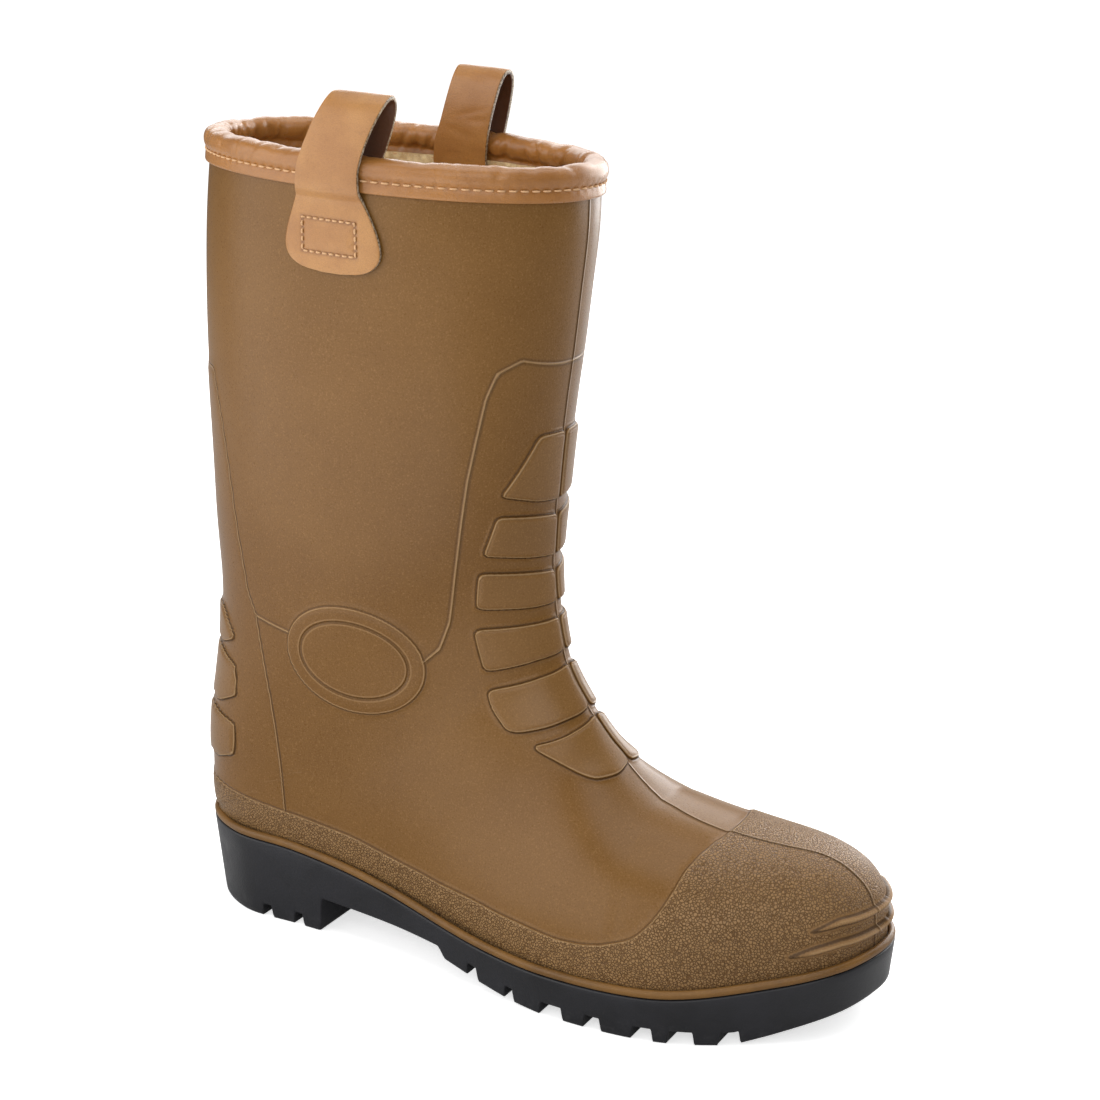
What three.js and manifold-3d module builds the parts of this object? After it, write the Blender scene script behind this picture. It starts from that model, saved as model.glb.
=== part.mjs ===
// Rigger boot, right foot: a hollow moulded upper on a lugged sole.
// Millimetres, +Z up, +X to the toe, +Y to the wearer's left (inner side of the foot).
import * as THREE from "three";
import { mergeVertices } from "three/addons/utils/BufferGeometryUtils.js";
import Module from "manifold-3d";

// Driving dimensions
const soleLength = 305;
const ballWidth = 109.5;
const shaftWidth = 102;
const heelHeight = 37;
const ballHeight = 18.5;
const toeHeight = 31.5;
const ankleHeight = 150;
const rimHeight = 321.5;
const wall = 2.5;
const clearance = 0.3;

// Edge of the sole and its lugs
const weltWidth = 4;
const weltHeight = 3.2;
const soleDraft = 0.09;
const treadDepth = 5.5;
const spineWidth = 14;

// Raised mouldings on the skin
const bandRaise = 1;
const padRaise = 1.8;
const discRaise = 0.9;
const ribRaise = 2.4;
const ribHeight = 3;
const seamGap = 1.4;

// Insole board
const insoleThickness = 4;
const insoleFit = 0.4;

// Collar binding: strips on both faces of the wall, padded roll over the rim
const stripThickness = 1.4;
const outerDrop = 8.8;
const innerDrop = 12;
const rollOut = 2.4;
const rollIn = 5.3;
const rollRise = 4.1;

// Pull loops
const strapThickness = 2;
const strapWidth = 25;
const tabWidth = 40;
const tabDrop = 39.5;
const outerLoopRise = 25.5;
const innerLoopRise = 29;
const loopGap = 11;
const loopLean = 8;
const outerLoopMiddle = 98.5;
const innerLoopMiddle = 95;

const wasm = await Module();
wasm.setup();

// Plain helpers
const mix = (a, b, t) => a + (b - a) * t;

// Smooth value of one named column at a place along a table
function column(table, key, name, at) {
  let i = 0;
  while (i < table.length - 2 && at > table[i + 1][key]) i += 1;
  const slope = (j) => {
    const a = table[Math.max(j - 1, 0)];
    const b = table[Math.min(j + 1, table.length - 1)];
    return (b[name] - a[name]) / (b[key] - a[key]);
  };
  const [p, q] = [table[i], table[i + 1]];
  const span = q[key] - p[key];
  const t = Math.min(Math.max((at - p[key]) / span, 0), 1);
  const rise = (3 - 2 * t) * t * t;
  const leave = t * (1 - t) * (1 - t) * span * slope(i);
  const arrive = t * t * (1 - t) * span * slope(i + 1);
  return mix(p[name], q[name], rise) + leave - arrive;
}

// Straight-line value of one named column at a place along a table
function ramp(table, key, name, at) {
  let i = 0;
  while (i < table.length - 2 && at > table[i + 1][key]) i += 1;
  const [p, q] = [table[i], table[i + 1]];
  const t = Math.min(Math.max((at - p[key]) / (q[key] - p[key]), 0), 1);
  return mix(p[name], q[name], t);
}

const rows = (names, values) =>
  values.map((row) => Object.fromEntries(names.map((name, i) => [name, row[i]])));

// Sole outline seen from below: along in sole lengths, side in half ball widths
const outlineTable = rows(["along", "side"], [
  [1.0, 0.168],
  [0.976, -0.265],
  [0.9, -0.606],
  [0.78, -0.96],
  [0.62, -1.03],
  [0.36, -0.8],
  [0.2, -0.78],
  [0.1, -0.757],
  [0.026, -0.484],
  [0.0, 0],
  [0.026, 0.484],
  [0.1, 0.757],
  [0.2, 0.78],
  [0.39, 0.61],
  [0.7, 0.965],
  [0.81, 0.945],
  [0.89, 0.84],
  [0.95, 0.66],
  [0.987, 0.42],
]);

// Top of the sole where the upper stands
const soleTopTable = rows(["along", "height"], [
  [0.0, heelHeight],
  [0.22, heelHeight - 2],
  [0.5, ballHeight + 1.2],
  [0.75, ballHeight],
  [0.9, mix(ballHeight, toeHeight, 0.45)],
  [1.0, toeHeight],
]);

// Underside of the lugs, in heel heights
const soleBottomTable = rows(["along", "height"], [
  [0.0, 0.03],
  [0.03, 0],
  [0.236, 0],
  [0.241, 0.43],
  [0.33, 0.38],
  [0.44, 0.33],
  [0.45, 0.2],
  [0.51, 0.1],
  [0.56, 0.035],
  [0.61, 0],
  [0.86, 0],
  [0.9, 0.1],
  [0.94, 0.22],
  [1.0, 0.4],
]);

// Heights on the upper: 0 is the floor, 0.247 the top of the heel, 1 the ankle, 2 the rim
const levelTable = rows(["up", "height"], [
  [0, 0],
  [0.247, heelHeight],
  [1, ankleHeight],
  [2, rimHeight],
  [3, 2 * rimHeight - ankleHeight],
]);
const heightOf = (up) => ramp(levelTable, "up", "height", up);

// Crest of the forefoot in front of the instep
const crestTable = rows(["along", "up"], [
  [0.69, 0.512],
  [0.74, 0.498],
  [0.8, 0.485],
  [0.86, 0.472],
  [1.0, 0.45],
]);

// Sections of the upper from the instep round the heel and up to the rim.
// Each lies on a plane through a back point and a front point, along in sole lengths.
// Outer and inner are half widths, widest is the share of the way up the section,
// and the two edges are how square it is below and above that.
const sectionTable = rows([
  "at", "backAlong", "backUp", "frontAlong", "frontUp",
  "outer", "inner", "widest", "backEdge", "frontEdge",
], [
  [0, 0.695, 0.027, 0.695, 0.51, 1.048, 0.96, 0.3, 4, 2.15],
  [1, 0.643, 0.027, 0.675, 0.535, 1.04, 0.906, 0.29, 4, 2.1],
  [2, 0.584, 0.027, 0.654, 0.567, 1.012, 0.817, 0.28, 3.8, 2.05],
  [3, 0.508, 0.033, 0.633, 0.605, 0.937, 0.713, 0.27, 3.6, 2],
  [4, 0.42, 0.053, 0.613, 0.643, 0.843, 0.64, 0.27, 3.4, 2],
  [5, 0.328, 0.08, 0.593, 0.692, 0.78, 0.645, 0.27, 3.2, 2],
  [6, 0.23, 0.107, 0.577, 0.737, 0.768, 0.728, 0.28, 3, 2],
  [7, 0.131, 0.12, 0.562, 0.783, 0.776, 0.776, 0.29, 2.9, 2],
  [8, 0.043, 0.147, 0.55, 0.833, 0.786, 0.786, 0.3, 2.8, 2],
  [9, 0.01, 0.253, 0.542, 0.893, 0.791, 0.791, 0.32, 2.7, 2],
  [10, 0.004, 0.387, 0.536, 0.957, 0.799, 0.799, 0.35, 2.6, 2],
  [11, 0.005, 0.52, 0.532, 1.023, 0.814, 0.814, 0.38, 2.5, 2],
  [12, 0.015, 0.653, 0.53, 1.093, 0.837, 0.837, 0.42, 2.4, 2],
  [13, 0.024, 0.787, 0.532, 1.175, 0.865, 0.865, 0.45, 2.3, 2.05],
  [14, 0.026, 0.94, 0.536, 1.262, 0.896, 0.896, 0.47, 2.2, 2.1],
  [15, 0.021, 1.105, 0.542, 1.367, 0.93, 0.93, 0.49, 2.15, 2.1],
  [16, 0.019, 1.28, 0.55, 1.478, 0.961, 0.961, 0.5, 2.1, 2.1],
  [17, 0.018, 1.466, 0.56, 1.595, 0.982, 0.982, 0.5, 2.1, 2.1],
  [18, 0.02, 1.653, 0.57, 1.729, 0.993, 0.993, 0.5, 2.1, 2.1],
  [19, 0.027, 1.845, 0.579, 1.857, 1, 1, 0.5, 2.1, 2.1],
  [20, 0.04, 2.028, 0.581, 1.977, 1, 1, 0.5, 2.1, 2.1],
]);

const soleTop = (x) => column(soleTopTable, "along", "height", x / soleLength);
const soleBottom = (x) =>
  heelHeight * ramp(soleBottomTable, "along", "height", x / soleLength);

// Closed outline moved inward by an inset, toe tip first, outer side next
const outlineCurve = new THREE.CatmullRomCurve3(
  outlineTable.map((p) =>
    new THREE.Vector3(p.along * soleLength, (p.side * ballWidth) / 2, 0)),
  true, "centripetal");

function outline(count, inset) {
  const points = [];
  for (let i = 0; i < count; i += 1) {
    const p = outlineCurve.getPointAt(i / count);
    const t = outlineCurve.getTangentAt(i / count);
    points.push(new THREE.Vector2(p.x + t.y * inset, p.y - t.x * inset));
  }
  return points;
}

// Side of an inset outline at a distance along the foot
const outlineStore = new Map();
function sideAt(x, sign, inset) {
  const key = inset.toFixed(3);
  if (!outlineStore.has(key)) outlineStore.set(key, outline(480, inset));
  const loop = outlineStore.get(key);
  const found = [];
  for (let i = 0; i < loop.length; i += 1) {
    const [a, b] = [loop[i], loop[(i + 1) % loop.length]];
    if ((a.x - x) * (b.x - x) > 0 || a.x === b.x) continue;
    found.push(mix(a.y, b.y, (x - a.x) / (b.x - a.x)));
  }
  return sign > 0 ? Math.max(...found) : Math.min(...found);
}

// One section of the upper, its skin grown outward by a distance.
// Places below 1 run back from the toe tip, places from 1 follow the table.
const foreStart = sectionTable[0].backAlong * soleLength;
const capStart = 0.82 * soleLength;
const capRound = 2.6;
const tuck = 14;
const sideHeight = 9;
const tipSide = (outlineTable[0].side * ballWidth) / 2;
const rimPlace = sectionTable.length;
const footPlaces = 10;

function toeSection(place, grow) {
  const reach = soleLength - weltWidth + grow - 0.05;
  const x = mix(foreStart, reach, Math.cos((place * Math.PI) / 2));
  const run = (x - foreStart) / (reach - foreStart);
  const cap = Math.max((x - capStart) / (reach - capStart), 0);
  const dome = Math.pow(1 - Math.pow(cap, capRound), 1 / capRound);
  const middle = tipSide * run * run;
  const low = soleTop(x) - tuck;
  const widest = soleTop(x) + sideHeight;
  const crest = heightOf(column(crestTable, "along", "up", x / soleLength)) + grow;
  const top = mix(widest, crest, dome);
  return {
    back: new THREE.Vector2(x, low),
    front: new THREE.Vector2(x, top),
    middle,
    outer: middle - sideAt(x, -1, weltWidth - grow),
    inner: sideAt(x, 1, weltWidth - grow) - middle,
    widest: (widest - low) / (top - low),
    backEdge: sectionTable[0].backEdge,
    frontEdge: sectionTable[0].frontEdge,
  };
}

function section(place, grow) {
  if (place < 1) return toeSection(place, grow);
  const value = (name) => column(sectionTable, "at", name, place - 1);
  const back = new THREE.Vector2(value("backAlong") * soleLength,
    heightOf(value("backUp")));
  const front = new THREE.Vector2(value("frontAlong") * soleLength,
    heightOf(value("frontUp")));
  const way = front.clone().sub(back).normalize();
  const high = Math.min(Math.max((place - footPlaces) / (rimPlace - footPlaces), 0), 1);
  const half = mix(ballWidth / 2 - weltWidth, shaftWidth / 2, high);
  return {
    back: back.addScaledVector(way, -grow),
    front: front.addScaledVector(way, grow),
    middle: 0,
    outer: value("outer") * half + grow,
    inner: value("inner") * half + grow,
    widest: value("widest"),
    backEdge: value("backEdge"),
    frontEdge: value("frontEdge"),
  };
}

// Point of the skin on a section: turn 0 is the crest or shin, a quarter is the outer side
function skin(s, turn) {
  const angle = turn * 2 * Math.PI;
  const [up, side] = [Math.cos(angle), Math.sin(angle)];
  const edge = up > 0 ? s.frontEdge : s.backEdge;
  const reach = Math.pow(
    Math.pow(Math.abs(up), edge) + Math.pow(Math.abs(side), edge), -1 / edge);
  const rise = s.widest + up * reach * (up > 0 ? 1 - s.widest : s.widest);
  const half = side > 0 ? s.outer : s.inner;
  return new THREE.Vector3(
    mix(s.back.x, s.front.x, rise),
    s.middle - side * reach * half,
    mix(s.back.y, s.front.y, rise));
}

// Closed body through rings of equal count, with flat ends or joined into a hoop
function loft(rings, hoop = false) {
  const count = rings[0].length;
  const points = rings.flat();
  const faces = [];
  const spans = hoop ? rings.length : rings.length - 1;
  for (let r = 0; r < spans; r += 1) {
    const next = (r + 1) % rings.length;
    for (let i = 0; i < count; i += 1) {
      const j = (i + 1) % count;
      const [a, b] = [r * count + i, r * count + j];
      const [c, d] = [next * count + i, next * count + j];
      faces.push(a, b, c, b, d, c);
    }
  }
  if (!hoop) {
    for (const r of [0, rings.length - 1]) {
      const centre = new THREE.Vector3();
      for (const p of rings[r]) centre.addScaledVector(p, 1 / count);
      points.push(centre);
      const hub = points.length - 1;
      for (let i = 0; i < count; i += 1) {
        const [a, b] = [r * count + i, r * count + ((i + 1) % count)];
        if (r === 0) faces.push(b, a, hub);
        else faces.push(a, b, hub);
      }
    }
  }
  return solid(new THREE.BufferGeometry().setFromPoints(points).setIndex(faces));
}

// Three.js geometry as a body for joining and cutting, turned face out
function solid(geometry) {
  const bare = new THREE.BufferGeometry();
  bare.setAttribute("position", geometry.getAttribute("position").clone());
  bare.setIndex(geometry.getIndex());
  const merged = mergeVertices(bare, 1e-4);
  const faces = new Uint32Array(merged.index.array);
  const points = merged.attributes.position.array;
  const build = () => new wasm.Manifold(
    new wasm.Mesh({ numProp: 3, vertProperties: points, triVerts: faces }));
  const made = build();
  if (made.volume() > 0) return made;
  for (let i = 0; i < faces.length; i += 3) {
    [faces[i + 1], faces[i + 2]] = [faces[i + 2], faces[i + 1]];
  }
  return build();
}

// Side view polygon, in millimetres, pushed through from one side to the other
function slab(points, from, to) {
  const shape = new THREE.Shape(points.map(([x, z]) => new THREE.Vector2(x, z)));
  const geometry = new THREE.ExtrudeGeometry(shape,
    { depth: to - from, bevelEnabled: false });
  geometry.rotateX(Math.PI / 2);
  geometry.translate(0, to, 0);
  return solid(mergeVertices(geometry.deleteAttribute("normal").deleteAttribute("uv")));
}

// Sections that each skin is built from, fewer for the inside
const aroundCount = 36;
const finePlaces = [
  0.06, 0.15, 0.24, 0.34, 0.45, 0.57, 0.7, 0.84, 1, 2, 3, 4, 5, 6, 7, 8, 8.7, 9.4, 10,
  10.7, 11.5, 12.5, 13.6, 15, 16.5, 18, 20, 21,
];
const coarsePlaces = [
  0.07, 0.18, 0.3, 0.45, 0.62, 0.8, 1, 2.5, 4, 5.5, 7, 8.5, 9.4, 10.5, 12, 14, 17, 20, 21,
];

// Whole boot shape with its skin moved outward, run on past the rim by a height
function shell(grow, places = finePlaces, past = 0) {
  const rings = places.map((place) => {
    const s = section(place, grow);
    const ring = [];
    for (let i = 0; i < aroundCount; i += 1) ring.push(skin(s, i / aroundCount));
    return ring;
  });
  if (past > 0) {
    const beyond = new THREE.Vector3(0, 0, past);
    rings.push(rings[rings.length - 1].map((p) => p.clone().add(beyond)));
  }
  return loft(rings);
}

// Side view points of the upper, as millimetres
const sized = (points) => points.map(([along, up]) => [along * soleLength, heightOf(up)]);

// Foxing band and toe cap: top edge from the heel to the crest, seen from the side
const bandTable = rows(["along", "up"], [
  [-0.1, 0.38],
  [0.12, 0.38],
  [0.182, 0.365],
  [0.295, 0.33],
  [0.382, 0.291],
  [0.473, 0.264],
  [0.569, 0.24],
  [0.635, 0.231],
  [0.669, 0.234],
  [0.701, 0.244],
  [0.729, 0.272],
  [0.746, 0.309],
  [0.761, 0.364],
  [0.773, 0.429],
  [0.79, 0.476],
  [0.82, 0.6],
]);
const bandSlab = slab(sized([
  ...bandTable.map((p) => [p.along, p.up]),
  [1.1, 0.6],
  [1.1, -0.1],
  [-0.1, -0.1],
]), -ballWidth, ballWidth);

// Pads round the back of the heel, seen from the side
const heelPadTable = rows([
  "top", "topAlong", "shoulder", "shoulderAlong",
  "side", "sideAlong", "low", "lowAlong",
], [
  [0.89, 0.072, 0.825, 0.104, 0.81, 0.098, 0.787, 0.07],
  [0.77, 0.064, 0.742, 0.106, 0.656, 0.108, 0.613, 0.064],
  [0.587, 0.05, 0.57, 0.102, 0.474, 0.098, 0.444, 0.056],
]);
const heelPads = heelPadTable.map((pad) => slab(sized([
  [-0.1, pad.top],
  [pad.topAlong, pad.top],
  [pad.shoulderAlong, pad.shoulder],
  [pad.sideAlong, pad.side],
  [pad.lowAlong, pad.low],
  [-0.1, pad.low],
]), -ballWidth, ballWidth));

// Two ribs round the toe, seen from the side
const ribTable = rows(["startAlong", "startUp", "bendAlong", "bendUp", "endUp"], [
  [0.931, 0.304, 0.957, 0.322, 0.334],
  [0.91, 0.246, 0.96, 0.262, 0.276],
]);
const toeRibs = ribTable.map((rib) => {
  const line = sized([
    [rib.startAlong, rib.startUp],
    [rib.bendAlong, rib.bendUp],
    [1.1, rib.endUp],
  ]);
  const half = [ribHeight / 4, ribHeight / 2, ribHeight / 2];
  const top = line.map(([x, z], i) => [x, z + half[i]]);
  const low = line.map(([x, z], i) => [x, z - half[i]]);
  return slab([...top, ...low.reverse()], -ballWidth, ballWidth);
});

// Shin and instep pads seen from the front, reaches from the seam in half ball widths
const shinPadTable = rows([
  "topMiddle", "topHalf", "topSide", "topReach",
  "lowReach", "lowSide", "lowHalf", "lowMiddle",
], [
  [1.408, 1.409, 1.409, 0.26, 0.46, 1.275, 1.254, 1.247],
  [1.211, 1.22, 1.228, 0.46, 0.49, 1.134, 1.121, 1.113],
  [1.076, 1.085, 1.093, 0.49, 0.47, 1.003, 0.999, 1.001],
  [0.958, 0.954, 0.947, 0.47, 0.43, 0.829, 0.857, 0.87],
  [0.832, 0.812, 0.78, 0.42, 0.43, 0.669, 0.703, 0.737],
  [0.701, 0.677, 0.639, 0.42, 0.39, 0.579, 0.577, 0.589],
]);

// Polygon in front view, in millimetres, pushed from the ankle forward past the shin
function frontSlab(points) {
  const shape = new THREE.Shape(points.map(([y, z]) => new THREE.Vector2(y, z)));
  const geometry = new THREE.ExtrudeGeometry(shape,
    { depth: soleLength * 0.4, bevelEnabled: false });
  geometry.rotateX(Math.PI / 2).rotateZ(Math.PI / 2);
  geometry.translate(soleLength * 0.38, 0, 0);
  return solid(mergeVertices(geometry.deleteAttribute("normal").deleteAttribute("uv")));
}

const shinPads = shinPadTable.flatMap((pad) => [-1, 1].map((side) => {
  const across = (share) => (side * share * ballWidth) / 2;
  const near = (side * seamGap) / 2;
  return frontSlab([
    [near, heightOf(pad.topMiddle)],
    [across(pad.topReach / 2), heightOf(pad.topHalf)],
    [across(pad.topReach), heightOf(pad.topSide)],
    [across(pad.lowReach), heightOf(pad.lowSide)],
    [across(pad.lowReach / 2), heightOf(pad.lowHalf)],
    [near, heightOf(pad.lowMiddle)],
  ]);
}));

// Ankle disc on both sides
const discMiddle = [0.303 * soleLength, heightOf(0.834)];
const discReach = [0.097 * soleLength, 0.152 * ankleHeight];
const discTilt = -0.12;
const disc = [];
for (let i = 0; i < 28; i += 1) {
  const angle = (i / 28) * 2 * Math.PI;
  const [a, b] = [discReach[0] * Math.cos(angle), discReach[1] * Math.sin(angle)];
  disc.push([
    discMiddle[0] + a * Math.cos(discTilt) - b * Math.sin(discTilt),
    discMiddle[1] + a * Math.sin(discTilt) + b * Math.cos(discTilt),
  ]);
}
const discSlab = slab(disc, -ballWidth, ballWidth);

// Side view line of the sole's top edge, lifted by a height
function soleLine(lift) {
  const line = [];
  for (let i = -2; i <= 42; i += 1) {
    const x = (i / 40) * soleLength;
    line.push([x, soleTop(Math.min(Math.max(x, 0), soleLength)) + lift]);
  }
  return line;
}
const layer = (low, high) => slab(
  [...soleLine(low), ...soleLine(high).reverse()], -ballWidth, ballWidth);
const belowSole = layer(-2 * heelHeight, clearance);

// Upper: skin with its raised mouldings, hollow, open below and at the rim
const join = (bodies) => bodies.reduce((a, b) => a.add(b));
const skinBody = shell(0);
const raised = [
  shell(bandRaise).intersect(bandSlab),
  shell(padRaise).intersect(join([...shinPads, ...heelPads])),
  shell(discRaise).intersect(discSlab),
  shell(ribRaise).intersect(join(toeRibs)),
];
const upper = join([skinBody, ...raised])
  .subtract(shell(-wall, coarsePlaces, 2 * heelHeight))
  .subtract(belowSole);

// Closed outline at three or more levels, for the sole and the welt
function outlineBody(levels) {
  const count = 60;
  const rings = levels.map(({ inset, height }) =>
    outline(count, 0).map((edge, i) => {
      const p = outline(count, inset(edge.x))[i];
      return new THREE.Vector3(p.x, p.y, height(edge.x));
    }));
  return loft(rings);
}

// Outsole: drafted side wall, arch under the waist, toe spring, lugs cut from both sides
const soleEdge = (x) => soleTop(Math.min(Math.max(x, 0), soleLength));
const soleBlank = outlineBody([
  { inset: (x) => soleDraft * soleEdge(x), height: () => -2 },
  { inset: () => 0.3, height: (x) => soleEdge(x) - 2.5 },
  { inset: () => 0, height: (x) => soleEdge(x) - 0.8 },
  { inset: () => 0, height: () => 2 * heelHeight },
]);
const underside = [];
for (const row of soleBottomTable) {
  underside.push([row.along * soleLength, row.height * heelHeight]);
}
const soleProfile = slab([
  [-0.1 * soleLength, underside[0][1]],
  ...underside,
  [1.1 * soleLength, underside[underside.length - 1][1]],
  ...soleLine(0).reverse(),
], -ballWidth, ballWidth);

// Grooves between lugs, as spans along the sole in sole lengths
const grooveTable = rows(["from", "to"], [
  [0.138, 0.154],
  [0.191, 0.206],
  [0.491, 0.508],
  [0.554, 0.568],
  [0.61, 0.643],
  [0.675, 0.698],
  [0.741, 0.767],
  [0.787, 0.817],
  [0.846, 0.868],
]);
const grooves = grooveTable.flatMap(({ from, to }) => {
  const [x0, x1] = [from * soleLength, to * soleLength];
  const high = Math.max(soleBottom(x0), soleBottom(x1)) + treadDepth;
  const box = [[x0, -3], [x0, high - 1], [x0 + 1, high], [x1 - 1, high], [x1, high - 1],
    [x1, -3]];
  return [
    slab(box, -ballWidth, -spineWidth / 2),
    slab(box, spineWidth / 2, ballWidth),
  ];
});
const outsole = soleBlank.intersect(soleProfile).subtract(join(grooves));

// Welt: a bead round the foot of the upper, on the rim of the sole
const weltBlank = outlineBody([
  { inset: () => 0.6, height: (x) => soleEdge(x) - 4 },
  { inset: () => 0, height: (x) => soleEdge(x) + clearance + weltHeight * 0.45 },
  { inset: () => 1, height: (x) => soleEdge(x) + clearance + weltHeight + 0.1 },
  { inset: () => 1, height: () => 2 * heelHeight },
]);
const welt = weltBlank
  .intersect(layer(clearance, clearance + weltHeight))
  .subtract(shell(bandRaise + clearance));

// Insole: a board inside the wall, on the sole
const insole = shell(-wall - insoleFit, coarsePlaces)
  .intersect(layer(clearance, clearance + insoleThickness));

// Point near the rim: up is measured along the shaft from the rim, out from its skin
const rimSection = section(rimPlace, 0);
const lowerSection = section(rimPlace - 1, 0);
function rimPoint(turn, out, up) {
  const top = skin(rimSection, turn);
  const low = skin(lowerSection, turn);
  const ahead = skin(rimSection, turn + 0.01);
  const away = new THREE.Vector3(top.y - ahead.y, ahead.x - top.x, 0).normalize();
  const rise = top.clone().sub(low).normalize();
  return top.addScaledVector(rise, up).addScaledVector(away, out);
}

// Collar binding: section of the padded roll over the rim with a strip down each face
const bindingSection = [
  [clearance, -outerDrop],
  [clearance + stripThickness, -outerDrop],
  [rollOut, -0.28 * outerDrop],
  [0.87 * rollOut, 0.35 * rollRise],
  [0, 0.88 * rollRise],
  [-1.5 * wall, rollRise],
  [-wall - 0.89 * rollIn, 0.5 * rollRise],
  [-wall - rollIn, -0.5 * rollRise],
  [-wall - 0.74 * rollIn, -0.5 * innerDrop],
  [-wall - clearance - 1.3 * stripThickness, -innerDrop],
  [-wall - clearance, -innerDrop],
  [-wall - clearance, clearance],
  [clearance, clearance],
];
const bindingRings = [];
for (let i = 0; i < aroundCount; i += 1) {
  bindingRings.push(bindingSection.map(([out, up]) => rimPoint(i / aroundCount, out, up)));
}
const binding = loft(bindingRings, true);

// Pull loops: a strap from a tab on the shaft, over the binding and down inside it.
// Up and out are from the rim, half is the strap's half width, lean its shift to the toe.
const halfStrap = strapThickness / 2;
const onShaft = clearance + halfStrap;
const overRoll = rollOut + onShaft + 0.4;
const insideWall = -wall - onShaft - 0.5;
const insideStrip = -wall - clearance - 1.3 * stripThickness - onShaft - 0.3;
const insideRoll = -wall - rollIn - onShaft - 0.7;
const loopTable = (rise) => rows(["up", "out", "half", "lean"], [
  [-tabDrop, onShaft, 0.18 * tabWidth, 0.25 * loopLean],
  [-0.97 * tabDrop, onShaft, 0.33 * tabWidth, 0.2 * loopLean],
  [-0.91 * tabDrop, onShaft, 0.44 * tabWidth, 0.15 * loopLean],
  [-0.81 * tabDrop, onShaft, 0.5 * tabWidth, 0.12 * loopLean],
  [-0.66 * tabDrop, onShaft, 0.49 * tabWidth, 0.07 * loopLean],
  [-0.48 * tabDrop, onShaft, 0.43 * tabWidth, 0],
  [-outerDrop - 3.7, onShaft + 0.2, 0.58 * strapWidth, -0.1 * loopLean],
  [-outerDrop, onShaft + stripThickness + 0.6, 0.54 * strapWidth, -0.12 * loopLean],
  [-0.28 * outerDrop, overRoll, 0.52 * strapWidth, -0.1 * loopLean],
  [0.08 * rise, overRoll, 0.51 * strapWidth, 0],
  [0.36 * rise, overRoll - 0.06 * loopGap, strapWidth / 2, 0.25 * loopLean],
  [0.67 * rise, overRoll - 0.23 * loopGap, strapWidth / 2, 0.57 * loopLean],
  [0.88 * rise, overRoll - 0.45 * loopGap, strapWidth / 2, 0.82 * loopLean],
  [0.99 * rise, overRoll - 0.73 * loopGap, strapWidth / 2, 0.95 * loopLean],
  [0.99 * rise, overRoll - 1.03 * loopGap, strapWidth / 2, loopLean],
  [0.86 * rise, overRoll - 1.28 * loopGap, strapWidth / 2, 0.95 * loopLean],
  [0.59 * rise, insideRoll - 1.4, strapWidth / 2, 0.75 * loopLean],
  [0.27 * rise, insideRoll - 1.2, strapWidth / 2, 0.45 * loopLean],
  [0, insideRoll, 0.52 * strapWidth, 0.17 * loopLean],
  [-0.58 * innerDrop, insideRoll + 1.8, 0.52 * strapWidth, 0],
  [-innerDrop - 0.5, insideStrip, 0.52 * strapWidth, 0],
  [-innerDrop - 4, insideWall - 0.5, 0.52 * strapWidth, 0],
  [-innerDrop - 9, insideWall, 0.52 * strapWidth, 0],
]);

function loopPoint(side, x, out, up) {
  let [low, high] = [0.02, 0.48];
  for (let i = 0; i < 30; i += 1) {
    const middle = (low + high) / 2;
    if (skin(rimSection, middle).x > x) low = middle;
    else high = middle;
  }
  return rimPoint(side < 0 ? low : 1 - low, out, up);
}

function pullLoop(side, middle, rise) {
  const table = loopTable(rise);
  const last = table.length - 1;
  const across = [-1, -0.35, 0.35, 1];
  const rings = table.map((row, i) => {
    const a = table[Math.max(i - 1, 0)];
    const b = table[Math.min(i + 1, last)];
    const way = new THREE.Vector2(b.out - a.out, b.up - a.up).normalize();
    const face = (sign) => across.map((share) => loopPoint(
      side,
      middle + row.lean + share * row.half,
      row.out + (sign * way.y * strapThickness) / 2,
      row.up - (sign * way.x * strapThickness) / 2));
    return [...face(1), ...face(-1).reverse()];
  });
  return loft(rings);
}

// Middle of the heel on the floor: the origin of the part
const heelMiddle = 0.131 * soleLength;

// Body as a named mesh with flat faces
function mesh(body, name, colour) {
  const made = body.getMesh();
  const points = new Float32Array(made.numVert * 3);
  for (let i = 0; i < points.length; i += 1) {
    const vertex = Math.floor(i / 3);
    points[i] = made.vertProperties[vertex * made.numProp + (i % 3)];
  }
  const shared = new THREE.BufferGeometry();
  shared.setAttribute("position", new THREE.BufferAttribute(points, 3));
  shared.setIndex(new THREE.BufferAttribute(new Uint32Array(made.triVerts), 1));
  const geometry = shared.toNonIndexed().translate(-heelMiddle, 0, 0);
  geometry.computeVertexNormals();
  const material = new THREE.MeshStandardMaterial({ color: colour, roughness: 0.6 });
  const result = new THREE.Mesh(geometry, material);
  result.name = name;
  return result;
}

const boot = new THREE.Group();
boot.name = "rigger_boot";
boot.add(mesh(outsole, "outsole", 0x2b2a2d));
boot.add(mesh(insole, "insole", 0x8c8478));
boot.add(mesh(upper, "upper", 0x8b6a46));
boot.add(mesh(welt, "welt", 0xa8763e));
boot.add(mesh(binding, "collar_binding", 0xb98354));
boot.add(mesh(pullLoop(-1, outerLoopMiddle, outerLoopRise), "pull_loop_outer", 0xb98354));
boot.add(mesh(pullLoop(1, innerLoopMiddle, innerLoopRise), "pull_loop_inner", 0xb98354));
export default boot;
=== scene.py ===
import math
import bmesh
import bpy
import numpy as np
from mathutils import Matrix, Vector
from mathutils import noise as hills


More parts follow.
